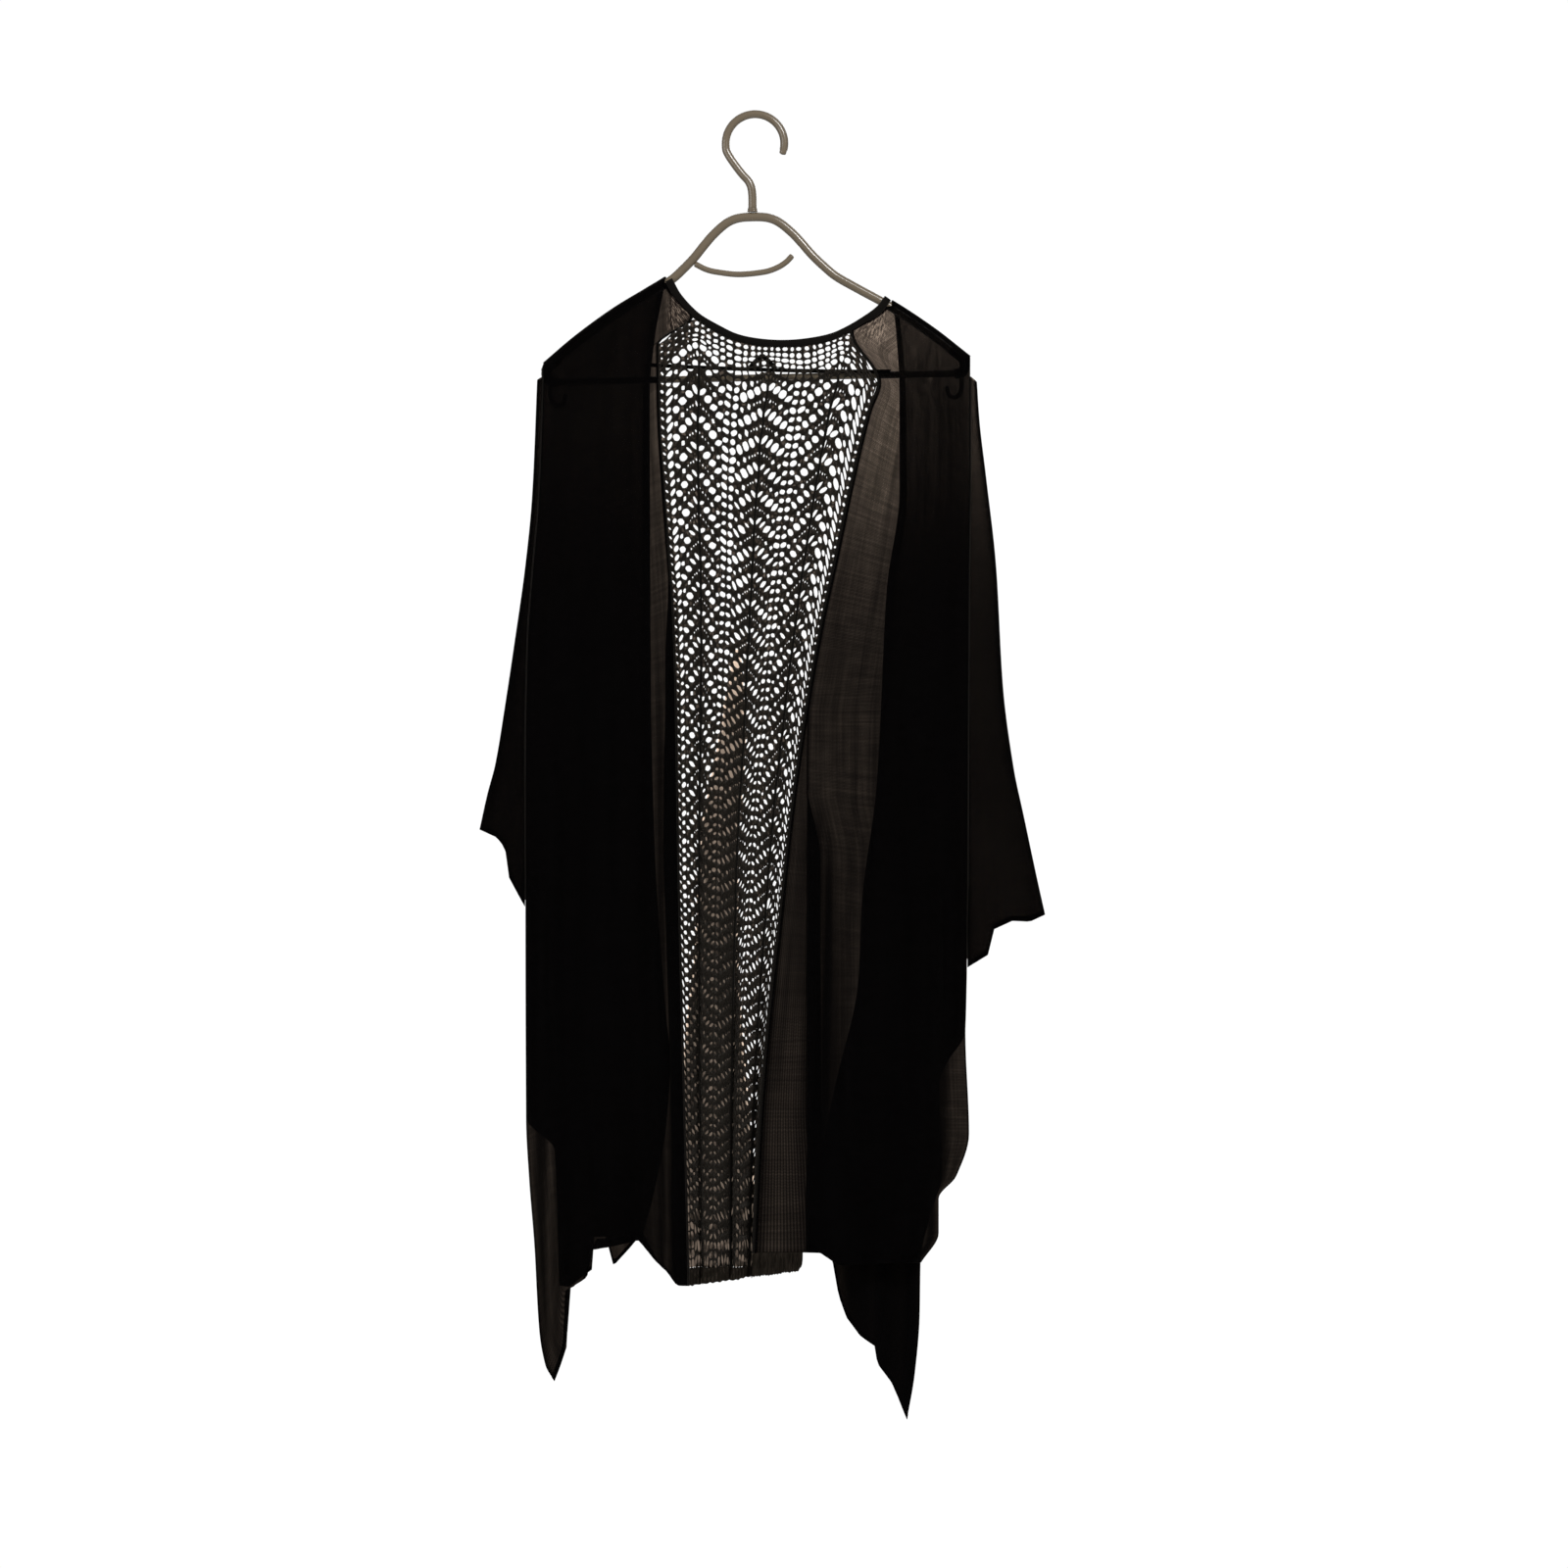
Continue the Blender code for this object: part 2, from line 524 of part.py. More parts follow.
def cut_cell(shape, cell):
    """A four-sided cell with a diamond hole: upper left, lower left, lower right, upper right."""
    upper_left, lower_left, lower_right, upper_right = cell
    centre = sum((vertex.co for vertex in cell), Vector()) / 4
    across = (upper_right.co + lower_right.co - upper_left.co - lower_left.co) / 2
    down = (lower_left.co + lower_right.co - upper_left.co - upper_right.co) / 2
    half_width = min(HOLE_HALF_WIDTH, 0.34 * across.length)
    half_height = min(HOLE_HALF_HEIGHT, 0.34 * down.length)
    hole = [
        shape.verts.new(centre + offset)
        for offset in (
            -across.normalized() * half_width, down.normalized() * half_height,
            across.normalized() * half_width, -down.normalized() * half_height,
        )
    ]
    left, low, right, high = hole
    for corner, first, second in (
        (upper_left, high, left), (lower_left, left, low), (lower_right, low, right), (upper_right, right, high),
    ):
        shape.faces.new((corner, second, first))
    for start, end, tip in (
        (upper_left, lower_left, left), (lower_left, lower_right, low), (lower_right, upper_right, right),
        (upper_right, upper_left, high),
    ):
        shape.faces.new((start, end, tip))


def band_point(share, z):
    """Point of the hem band: under the lace up to share 1, and under the right side panel past it."""
    if share <= 1.0:
        return lace_point(share, z)
    x, y, _ = lace_point(1.0, z)
    x += (share - 1.0) * BAND_REACH
    panel_y = back_right(x, z)
    return x, panel_y + (y - panel_y) * BAND_LACE_DEPTH, z


def hem_band(surface):
    """Gathered rib under the lace and the inner part of the right side panel."""
    shares = lace_columns() + [1.25, 1.5, 1.75, 2.0]
    top = LACE_FOOT_Z - SEAM
    top_right = BAND_TOP_RIGHT - SEAM
    rise = ((0.0, top), (1.0, top), (1.02, top_right), (2.0, top_right))
    sections = [[band_point(share, follow(edge, share)) for share in shares] for edge in (rise, BAND_FOOT)]
    return wall_of(lofted("hem_band", sections), surface)


def sleeve(name, rows, armhole, outline, cuff, opening, surface):
    """A sleeve folded along its outer edge, from the back of the armhole round to its front."""
    outwards = 1.0 if outline[0][1] > 0 else -1.0
    around = (0.0, 0.29, 0.41, 0.7, 0.92, 1.0)
    ends = (follow(armhole, rows[-1][0]), follow(outline, rows[-1][1]))
    sections = []
    for index, (z_inner, z_outer) in enumerate(rows):
        down = index / (len(rows) - 1)
        x_inner = follow(armhole, z_inner) + outwards * SEAM / 2
        x_outer = follow(outline, z_outer) - outwards * WALL / 2
        edge = follow(opening, z_inner)
        half = []
        for share in around:
            belly = edge + (SLEEVE_HALF - edge) * math.sin(math.pi * min(share, 0.5))
            y = belly * math.sqrt(1.0 - share**3)
            last_line = rows[-1][0] + (rows[-1][1] - rows[-1][0]) * share
            cuff_bow = (follow(cuff, ends[0] + (ends[1] - ends[0]) * share) - last_line) * down**6
            z = z_inner + (z_outer - z_inner) * share + cuff_bow
            half.append((x_inner + (x_outer - x_inner) * share, y, z))
        back = [(x, -y, z) for x, y, z in half]
        section = back + half[-2::-1]
        sections.append(section if outwards > 0 else section[::-1])
    return wall_of(lofted(name, sections), surface)


def tube(name, points, radius, surface, sides=2):
    """A round tube with closed ends along a line of points: x, y, z."""
    curve = bpy.data.curves.new(name, "CURVE")
    curve.dimensions = "3D"
    curve.bevel_depth = radius
    curve.bevel_resolution = sides
    curve.use_fill_caps = True
    spline = curve.splines.new("POLY")
    spline.points.add(len(points) - 1)
    for target, point in zip(spline.points, points):
        target.co = (*point, 1.0)
    curve.materials.append(surface)
    made = bpy.data.objects.new(name, curve)
    bpy.data.collections["kimono_cardigan"].objects.link(made)
    return made


def rounded(points, steps=3):
    """A smooth line through points, each stretch split into steps (a Catmull-Rom spline)."""
    points = [Vector(point) for point in points]
    padded = [2 * points[0] - points[1]] + points + [2 * points[-1] - points[-2]]
    line = []
    for before, start, end, after in zip(padded, padded[1:], padded[2:], padded[3:]):
        for part in range(steps):
            t = part / steps
            line.append(
                0.5 * (2 * start + (end - before) * t + (2 * before - 5 * start + 4 * end - after) * t**2
                       + (3 * start - before - 3 * end + after) * t**3)
            )
    return line + [points[-1]]


def hook(surface):
    bend = []
    steps = 16
    for step in range(steps + 1):
        angle = math.radians(HOOK_TIP_DEG + (HOOK_LEAVE_DEG - HOOK_TIP_DEG) * step / steps)
        bend.append((HOOK_CENTRE_X + HOOK_BEND * math.cos(angle), HOOK_CENTRE_Z + HOOK_BEND * math.sin(angle)))
    neck = [(point.x, point.y) for point in rounded(HOOK_NECK + ((NECK_X, HOOK_FOOT_Z + LAY),), 2)]
    return tube("hanger_hook", [(x, 0.0, z) for x, z in bend + neck], HOOK_TUBE, surface)


def hanger(surface):
    hook(surface)
    line = mirrored(ARM_LINE + ARM_TURN)
    smooth_line = rounded([(x, z) for x, z in line], 2)
    tube("hanger_arms", [(x, 0.0, z) for x, z in (tilted(*point) for point in smooth_line)], ARM_TUBE, surface)
    ends = [tilted(-BAR_END, BAR_Z), tilted(BAR_END, BAR_Z)]
    tube("hanger_bar", [(x, 0.0, z) for x, z in ends], BAR_TUBE, surface)
    rail = rounded(TIE_RAIL, 2)
    tube("tie_rail", [(point.x, 0.0, point.y) for point in rail], RAIL_TUBE, surface)
    for side, sign in (("left", -1.0), ("right", 1.0)):
        line = rounded([tilted(sign * x, z) for x, z in STRAP_HOOK], 2)
        tube(f"strap_hook_{side}", [(point.x, 0.0, point.y) for point in line], STRAP_TUBE, surface)
    collar(surface)


def collar(surface):
    """Ring at the foot of the hook, on top of the arch."""
    low, high = ARCH_Z + ARM_TUBE + LAY, HOOK_FOOT_Z
    mesh = bpy.data.meshes.new("hanger_collar")
    shape = bmesh.new()
    bmesh.ops.create_cone(
        shape, cap_ends=True, segments=16, radius1=COLLAR_RADIUS, radius2=HOOK_TUBE + 0.0004, depth=high - low,
    )
    shape.to_mesh(mesh)
    shape.free()
    made = object_of(mesh, surface)
    made.location = (NECK_X, 0.0, (low + high) / 2)


def neck_binding(surface):
    points = []
    for point in rounded(NECKLINE, 2):
        x, z = point.x, point.y
        side = BACK_SIDE_LEFT if x < 0 else BACK_SIDE_RIGHT
        opening = OPEN_LEFT if x < 0 else OPEN_RIGHT
        depth = layer_depth(x, z, follow(side, z), follow(opening, z), DRAPE_DEPTH)
        clear = ARM_TUBE + BINDING + LAY + WALL / 2
        points.append((x, -max(depth, clear), z))
    tube("neck_binding", points, BINDING, surface, 1)


def back_tape(surface):
    """Narrow hanging tape inside the back, from one side panel to the other, bowed clear of the bar."""
    steps = 8
    sections = []
    for level in (0.0, 1.0):
        section = []
        for step in range(steps + 1):
            share = step / steps
            bow = 1.0 - (2.0 * share - 1.0) ** 4
            x = TAPE_LEFT + (TAPE_RIGHT - TAPE_LEFT) * share
            z = TAPE_TOP - TAPE_DROP * math.sin(math.pi * share * 0.5) - TAPE_HEIGHT * level
            section.append((x, -TAPE_END_DEPTH + TAPE_BOW * bow, z))
        sections.append(section)
    return wall_of(lofted("back_tape", sections), surface, TAPE_THICKNESS)


def build():
    for old in list(bpy.data.objects):
        bpy.data.objects.remove(old)
    bpy.context.scene.collection.children.link(bpy.data.collections.new("kimono_cardigan"))
    knit = material("sheer_black_knit", (0.012, 0.011, 0.011), 0.85)
    lace = material("black_lace_knit", (0.014, 0.012, 0.011), 0.80)
    trim = material("black_binding", (0.010, 0.010, 0.010), 0.75)
    plastic = material("taupe_plastic", (0.30, 0.24, 0.18), 0.30)

    hanger(plastic)
    neck_binding(trim)
    back_tape(trim)
    wall_of(lace_mesh("lace_back_panel"), lace)
    hem_band(knit)

    for name, rows, columns, side, inner, hem, place in (
        ("back_left_panel", ROWS_BACK_LEFT, 12, BACK_SIDE_LEFT, YOKE_LEFT + LACE_LEFT, HEM_BACK_LEFT, back_left),
        ("back_right_panel", ROWS_BACK_RIGHT, 14, BACK_SIDE_RIGHT, YOKE_RIGHT + LACE_RIGHT, HEM_BACK_RIGHT, back_right),
        ("front_left_panel", ROWS_FRONT_LEFT, 10, FRONT_SIDE_LEFT, FRONT_EDGE_LEFT, HEM_FRONT_LEFT, front_left),
        ("front_right_panel", ROWS_FRONT_RIGHT, 12, FRONT_SIDE_RIGHT, FRONT_EDGE_RIGHT, HEM_FRONT_RIGHT, front_right),
    ):
        panel(name, rows, columns, side, inner, hem, place, knit)
    sleeve("sleeve_left", ROWS_SLEEVE_LEFT, ARMHOLE_LEFT, SLEEVE_LEFT, CUFF_LEFT, OPEN_LEFT, knit)
    sleeve("sleeve_right", ROWS_SLEEVE_RIGHT, ARMHOLE_RIGHT, SLEEVE_RIGHT, CUFF_RIGHT, OPEN_RIGHT, knit)


if __name__ == "__main__":
    build()
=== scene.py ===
"""Looks of an open-front kimono cardigan in sheer knit with a lace back, on a plastic tube hanger.

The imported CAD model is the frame. Metres, +Z up. The origin is the inner crest of the hook. The garment's back
is at -Y, its open fronts at +Y, and the hanger stands between them. The outlines, folds and pleats repeat the
part's own tables, so each cloth lies where its solid is. Every piece rides on the one body, root.
"""

import math
from bisect import bisect_right
from collections import namedtuple

import bpy
import numpy as np
from bpy.props import FloatProperty, FloatVectorProperty, PointerProperty
from mathutils import Matrix, Vector, noise


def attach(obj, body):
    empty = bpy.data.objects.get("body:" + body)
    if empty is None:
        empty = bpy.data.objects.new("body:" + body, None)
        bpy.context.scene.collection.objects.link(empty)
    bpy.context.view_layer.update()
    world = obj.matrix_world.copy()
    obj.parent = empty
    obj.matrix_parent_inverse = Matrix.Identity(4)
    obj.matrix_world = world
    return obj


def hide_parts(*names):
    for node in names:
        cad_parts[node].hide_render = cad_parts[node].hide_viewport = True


bl_info = {
    "name": "Sheer Kimono Cardigan",
    "version": (1, 0, 0),
    "blender": (4, 5, 0),
    "location": "View3D > Sidebar > Cardigan",
    "description": "Builds a sheer knit kimono cardigan with a lace back on its hanger",
    "category": "Object",
}

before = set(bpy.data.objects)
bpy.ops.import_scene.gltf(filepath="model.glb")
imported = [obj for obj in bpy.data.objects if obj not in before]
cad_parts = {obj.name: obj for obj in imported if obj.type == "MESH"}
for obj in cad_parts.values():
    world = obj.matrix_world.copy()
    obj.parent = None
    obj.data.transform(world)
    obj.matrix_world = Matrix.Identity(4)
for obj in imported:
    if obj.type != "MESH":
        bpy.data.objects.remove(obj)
# Without a seed of its own, noise_vector starts from the clock
noise.seed_set(7)
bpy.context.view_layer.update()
BODY = "root"

VIEW_WIDTH = 1.488  # what the camera sees across, at the garment's distance
FLOOR_Z = -1.60
FLOOR_RADIUS = 1.05

# Walls and gaps of the part
WALL = 0.0012
SEAM = 0.0006
LAY = 0.0003

# Hanger: a tube's size is its radius
HOOK_TUBE = 0.00375
HOOK_BEND = 0.0279
HOOK_CENTRE_X = 0.0005
HOOK_CENTRE_Z = HOOK_TUBE - HOOK_BEND
HOOK_TIP_DEG = -19.0
HOOK_LEAVE_DEG = 214.0
HOOK_FOOT_Z = -0.0856
ARM_TUBE = 0.0042
ARCH_Z = -0.0939
NECK_X = -0.0019
COLLAR_RADIUS = 0.0050
DOME = 0.45  # height of a tube's rounded end as a share of its radius
BAR_TUBE = 0.0033
BAR_Z = -0.2465
BAR_END = 0.1897
RAIL_TUBE = 0.0028
STRAP_TUBE = 0.0023
HANG_TILT = math.radians(1.2)

# Cloth: how the layers lie over the arms, fall open and close again at the sides
CURL = ARM_TUBE + 0.0004 + WALL / 2
DRAPE_DEPTH = 0.012
DRAPE_FALL = 0.060
LACE_DEPTH = 0.022
SIDE_ROUND = 0.035
SIDE_SEAM = 0.0009
SLEEVE_HALF = 0.0070
BINDING = 0.0016
TAPE_LEFT = -0.0990
TAPE_RIGHT = 0.1290
TAPE_TOP = -0.2335
TAPE_DROP = 0.006
TAPE_HEIGHT = 0.0037
TAPE_END_DEPTH = 0.0098
TAPE_BOW = 0.0044
LOOP_WIDTH = 0.0240
LOOP_HEIGHT = 0.0125
ROW_STEP = 0.0045  # height of a row of a panel's faces
HEM_LIFT = 0.00065  # how far a turned edge stands off its cloth
TURNED_IN = 0.0022  # width of the turned edges along the lace
TUCK_GAP = 0.0009  # between the layers of a fold that is laid over
TUCK_ROW = 20  # the row of a panel by which its direction and width are told
SHOULDER_CAP = 0.013  # how much of an arm's end is covered
# Ends of the neckline, where the knit is stretched into a fan: middle between them, half their distance, z
FAN_MIDDLE_X = 0.0213
FAN_HALF = 0.104
FAN_Z = -0.165

# Lace
CHEVRON = 0.0254  # height of one repeat
LACE_CLEAR_LEFT = 0.0002
LACE_CLEAR_RIGHT = 0.0008
LACE_FOOT_Z = -1.0895
BAND_TOP_RIGHT = -1.0745
BAND_REACH = 0.047
BAND_FOOT = ((0.0, -1.1055), (1.0, -1.0975), (2.0, -1.0915))
BAND_LACE_DEPTH = 0.8
BAND_COLUMNS = 460
BAND_ROWS = 8
RIB_COLUMNS = 13.5  # columns of the band from one rib to the next
RIB_PITCH = 0.0031  # between its dark lines
RIB_RELIEF = 0.0005
LACE_FLAT = (0.178, 0.875)  # width and length of the lace before it is gathered
NET_FROM = 1.1  # repeats below the neckline at which the close net begins
SPINE_END = 2.1  # repeats below the neckline at which the leaves' spines end
FOLDS_TOP = -0.500  # of the folds that lie behind the lace
FOLDS_LENGTH = 0.590
FOLDS_GATHER = 1.6  # their flat width as a share of the width that shows
TAPE_FLAT = (0.229, 0.0102)

# Middle line of one arm, from the neck outwards, in the hanger's own level frame: distance, z
ARM_LINE = (
    (0.0000, -0.0939), (0.0140, -0.0949), (0.0251, -0.0995), (0.0372, -0.1097), (0.0465, -0.1200),
    (0.0558, -0.1311), (0.0670, -0.1423), (0.0790, -0.1525), (0.1010, -0.1655), (0.1300, -0.1823),
    (0.1674, -0.2083), (0.1960, -0.2316),
)
# Its turned end, down and back to the bar: distance, z
ARM_TURN = (
    (0.1978, -0.2350), (0.1985, -0.2395), (0.1968, -0.2440), (0.1930, -0.2463), (0.1900, BAR_Z),
)
# Strap hook under each end of the bar: distance, z
STRAP_HOOK = (
    (0.1950, -0.2507), (0.1952, -0.2590), (0.1930, -0.2660), (0.1880, -0.2690), (0.1830, -0.2665),
    (0.1808, -0.2590),
)
# Tie rail from the left arm, below the arch, to its free tip: x, z
TIE_RAIL = (
    (-0.0557, -0.1388), (-0.0460, -0.1436), (-0.0353, -0.1462), (-0.0149, -0.1484),
    (0.0084, -0.1462), (0.0210, -0.1422), (0.0295, -0.1370), (0.0353, -0.1311),
)
# Neck of the hook under its bend: x, z
HOOK_NECK = (
    (-0.0186, -0.0474), (-0.0121, -0.0530), (-0.0066, -0.0585), (-0.0031, -0.0650),
    (-0.0019, -0.0740),
)

# Armhole line of the body, outline of each sleeve, side edges of the body: z, x
ARMHOLE_LEFT = (
    (-0.2400, -0.2005), (-0.2911, -0.2018), (-0.3674, -0.2050), (-0.4259, -0.2100),
    (-0.4929, -0.2150), (-0.6000, -0.2172), (-0.7500, -0.2176),
)
ARMHOLE_RIGHT = (
    (-0.2400, 0.2048), (-0.3385, 0.2048), (-0.4259, 0.2038), (-0.5500, 0.2030), (-0.8100, 0.2018),
)
SLEEVE_LEFT = (
    (-0.2450, -0.2065), (-0.2632, -0.2072), (-0.3292, -0.2098), (-0.3674, -0.2120),
    (-0.4259, -0.2180), (-0.5022, -0.2288), (-0.5580, -0.2372), (-0.6138, -0.2465),
    (-0.6417, -0.2539), (-0.6752, -0.2613),
)
SLEEVE_RIGHT = (
    (-0.2450, 0.2111), (-0.2874, 0.2139), (-0.3385, 0.2199), (-0.4259, 0.2297), (-0.5394, 0.2362),
    (-0.6175, 0.2465), (-0.6612, 0.2558), (-0.7217, 0.2688), (-0.7542, 0.2762),
)
BACK_SIDE_LEFT = ARMHOLE_LEFT + (
    (-0.9486, -0.2170), (-1.0063, -0.2139), (-1.0686, -0.2088), (-1.1504, -0.2040),
    (-1.1830, -0.1981), (-1.1978, -0.1897),
)
FRONT_SIDE_LEFT = ARMHOLE_LEFT + ((-0.9486, -0.2170), (-0.9800, -0.1900), (-1.1086, -0.1860))
BACK_SIDE_RIGHT = ARMHOLE_RIGHT + (
    (-0.8668, 0.2004), (-0.9635, 0.2037), (-1.0035, 0.1916), (-1.0249, 0.1748), (-1.0574, 0.1748),
    (-1.0853, 0.1581),
)
FRONT_SIDE_RIGHT = ARMHOLE_RIGHT + (
    (-0.8668, 0.2004), (-0.8965, 0.1832), (-0.9151, 0.1758), (-1.0007, 0.1786), (-1.0416, 0.1674),
    (-1.0853, 0.1581), (-1.1383, 0.1572), (-1.1932, 0.1525), (-1.2360, 0.1451),
)

# Edges of the lace, and the yoke corners above it: z, x
LACE_LEFT = (
    (-0.2158, -0.0911), (-0.2790, -0.0902), (-0.3534, -0.0856), (-0.4650, -0.0772),
    (-0.5394, -0.0744), (-0.7068, -0.0716), (-0.8649, -0.0679), (-1.0898, -0.0623),
)
LACE_RIGHT = (
    (-0.2511, 0.1181), (-0.2790, 0.1088), (-0.3441, 0.0930), (-0.4185, 0.0772), (-0.4836, 0.0632),
    (-0.5673, 0.0484), (-0.6603, 0.0353), (-0.7533, 0.0251), (-0.8742, 0.0121), (-0.9579, 0.0056),
    (-1.0898, -0.0009),
)
YOKE_LEFT = ((-0.1480, -0.0850), (-0.1560, -0.0838), (-0.1711, -0.0752), (-0.1888, -0.0588))
YOKE_RIGHT = ((-0.1680, 0.1305), (-0.1814, 0.1234), (-0.1907, 0.1122), (-0.2027, 0.0918))
# Inner edges of the two fronts: z, x
FRONT_EDGE_LEFT = (
    (-0.1500, -0.0840), (-0.1674, -0.0870), (-0.2093, -0.0949), (-0.2604, -0.0995),
    (-0.5394, -0.0986), (-0.6882, -0.0949), (-0.8556, -0.0837), (-0.8928, -0.0800),
    (-0.9551, -0.0837), (-1.0249, -0.0967), (-1.0593, -0.1060),
)
FRONT_EDGE_RIGHT = (
    (-0.1700, 0.1300), (-0.2000, 0.1340), (-0.2604, 0.1376), (-0.3534, 0.1376), (-0.4464, 0.1256),
    (-0.6324, 0.1163), (-0.7440, 0.1023), (-0.8184, 0.0986), (-0.9300, 0.0744), (-1.0044, 0.0605),
    (-1.0723, 0.0484),
)
# Neckline of the back, from the left shoulder to the right one: x, z
NECKLINE = (
    (-0.0812, -0.1545), (-0.0716, -0.1711), (-0.0549, -0.1888), (-0.0353, -0.2009),
    (-0.0149, -0.2102), (0.0121, -0.2148), (0.0400, -0.2148), (0.0688, -0.2102), (0.0874, -0.2027),
    (0.1070, -0.1907), (0.1190, -0.1814), (0.1265, -0.1716),
)
# Upper edge of the lace: x, z, and how far its wall stops below that line
LACE_TOP = (
    (-0.0911, -0.2158, 0.0014), (-0.0549, -0.1888, 0.0034), (-0.0353, -0.2009, 0.0032),
    (-0.0149, -0.2102, 0.0030), (0.0121, -0.2148, 0.0028), (0.0400, -0.2148, 0.0028),
    (0.0688, -0.2102, 0.0030), (0.0874, -0.2027, 0.0032), (0.1181, -0.2511, 0.0014),
)
# Hems, from the side edge inwards: x, z
HEM_BACK_LEFT = (
    (-0.1897, -1.1978), (-0.1767, -1.1616), (-0.1761, -1.1104), (-0.1580, -1.0974),
    (-0.1507, -1.0620), (-0.1060, -1.0556), (-0.0921, -1.0807), (-0.0725, -1.1055),
    (-0.0620, -1.1055),
)
HEM_BACK_RIGHT = (
    (-0.0009, -1.0745), (0.0470, -1.0745), (0.0700, -1.0760), (0.0780, -1.0860), (0.1581, -1.0853),
)
CUFF_LEFT = (
    (-0.2613, -0.6752), (-0.2446, -0.6826), (-0.2362, -0.6930), (-0.2350, -0.7161),
    (-0.2176, -0.7480),
)
CUFF_RIGHT = (
    (0.2018, -0.8060), (0.2228, -0.7930), (0.2241, -0.7710), (0.2446, -0.7617), (0.2613, -0.7626),
    (0.2762, -0.7560),
)
HEM_FRONT_LEFT = (
    (-0.1860, -1.1086), (-0.1761, -1.1104), (-0.1544, -1.0937), (-0.1535, -1.0630),
    (-0.1414, -1.0621), (-0.1339, -1.0900), (-0.1190, -1.0742), (-0.1060, -1.0593),
)
HEM_FRONT_RIGHT = (
    (0.0484, -1.0723), (0.0670, -1.0769), (0.0735, -1.0816), (0.0800, -1.1197), (0.0874, -1.1402),
    (0.1004, -1.1569), (0.1144, -1.1662), (0.1172, -1.1830), (0.1311, -1.2025), (0.1451, -1.2360),
)

# Heights of a panel's rows at its side edge and at its inner edge: z_side, z_inner
ROWS_BACK_LEFT = (
    (-0.262, -0.1711), (-0.285, -0.1888), (-0.315, -0.2158), (-0.360, -0.2790), (-0.420, -0.3534),
    (-0.475, -0.4100), (-0.530, -0.4650), (-0.585, -0.5394), (-0.640, -0.6000), (-0.700, -0.6550),
    (-0.745, -0.7068), (-0.795, -0.7600), (-0.845, -0.8150), (-0.895, -0.8649), (-0.9486, -0.9300),
    (-1.0063, -0.9850), (-1.0686, -1.0300), (-1.1200, -1.0650), (-1.1504, -1.0850),
    (-1.1830, -1.0980), (-1.1978, -1.1055),
)
ROWS_BACK_RIGHT = (
    (-0.258, -0.1814), (-0.270, -0.1907), (-0.285, -0.2027), (-0.315, -0.2511), (-0.345, -0.2790),
    (-0.400, -0.3441), (-0.455, -0.4185), (-0.510, -0.4836), (-0.570, -0.5673), (-0.630, -0.6130),
    (-0.680, -0.6603), (-0.730, -0.7070), (-0.780, -0.7533), (-0.8128, -0.8100), (-0.8668, -0.8742),
    (-0.9150, -0.9150), (-0.9635, -0.9579), (-1.0035, -1.0000), (-1.0249, -1.0300),
    (-1.0574, -1.0550), (-1.0853, -1.0745),
)
ROWS_FRONT_LEFT = (
    (-0.262, -0.175), (-0.285, -0.2093), (-0.320, -0.2604), (-0.360, -0.320), (-0.420, -0.390),
    (-0.480, -0.460), (-0.540, -0.530), (-0.600, -0.600), (-0.660, -0.660), (-0.720, -0.720),
    (-0.780, -0.780), (-0.840, -0.840), (-0.900, -0.8928), (-0.9486, -0.940), (-0.980, -0.985),
    (-1.040, -1.025), (-1.1086, -1.0593),
)
ROWS_FRONT_RIGHT = (
    (-0.262, -0.185), (-0.280, -0.215), (-0.310, -0.2604), (-0.360, -0.320), (-0.420, -0.390),
    (-0.480, -0.460), (-0.540, -0.530), (-0.600, -0.600), (-0.660, -0.660), (-0.720, -0.720),
    (-0.780, -0.780), (-0.8668, -0.830), (-0.8965, -0.870), (-0.9151, -0.900), (-0.960, -0.940),
    (-1.0007, -0.980), (-1.0416, -1.010), (-1.0853, -1.035), (-1.1383, -1.050), (-1.1932, -1.062),
    (-1.2360, -1.0723),
)
# Rows of a sleeve: z at the armhole, z at the outer fold
ROWS_SLEEVE_LEFT = (
    (-0.246, -0.249), (-0.285, -0.285), (-0.340, -0.340), (-0.400, -0.395), (-0.460, -0.445),
    (-0.520, -0.495), (-0.580, -0.540), (-0.640, -0.585), (-0.690, -0.630), (-0.742, -0.6752),
)
ROWS_SLEEVE_RIGHT = (
    (-0.246, -0.251), (-0.285, -0.285), (-0.340, -0.340), (-0.405, -0.400), (-0.470, -0.460),
    (-0.535, -0.520), (-0.600, -0.580), (-0.665, -0.640), (-0.730, -0.695), (-0.7980, -0.7542),
)
# Half the depth between the layers along the side edges: z, half depth
OPEN_LEFT = (
    (-0.240, CURL), (-0.350, 0.0070), (-0.600, 0.0075), (-0.680, 0.0055), (-0.745, SIDE_SEAM),
    (-0.930, SIDE_SEAM), (-1.000, 0.0040), (-1.100, 0.0065),
)
OPEN_RIGHT = (
    (-0.240, CURL), (-0.350, 0.0070), (-0.620, 0.0075), (-0.720, 0.0055), (-0.800, SIDE_SEAM),
    (-0.865, SIDE_SEAM), (-0.930, 0.0040), (-1.050, 0.0065),
)

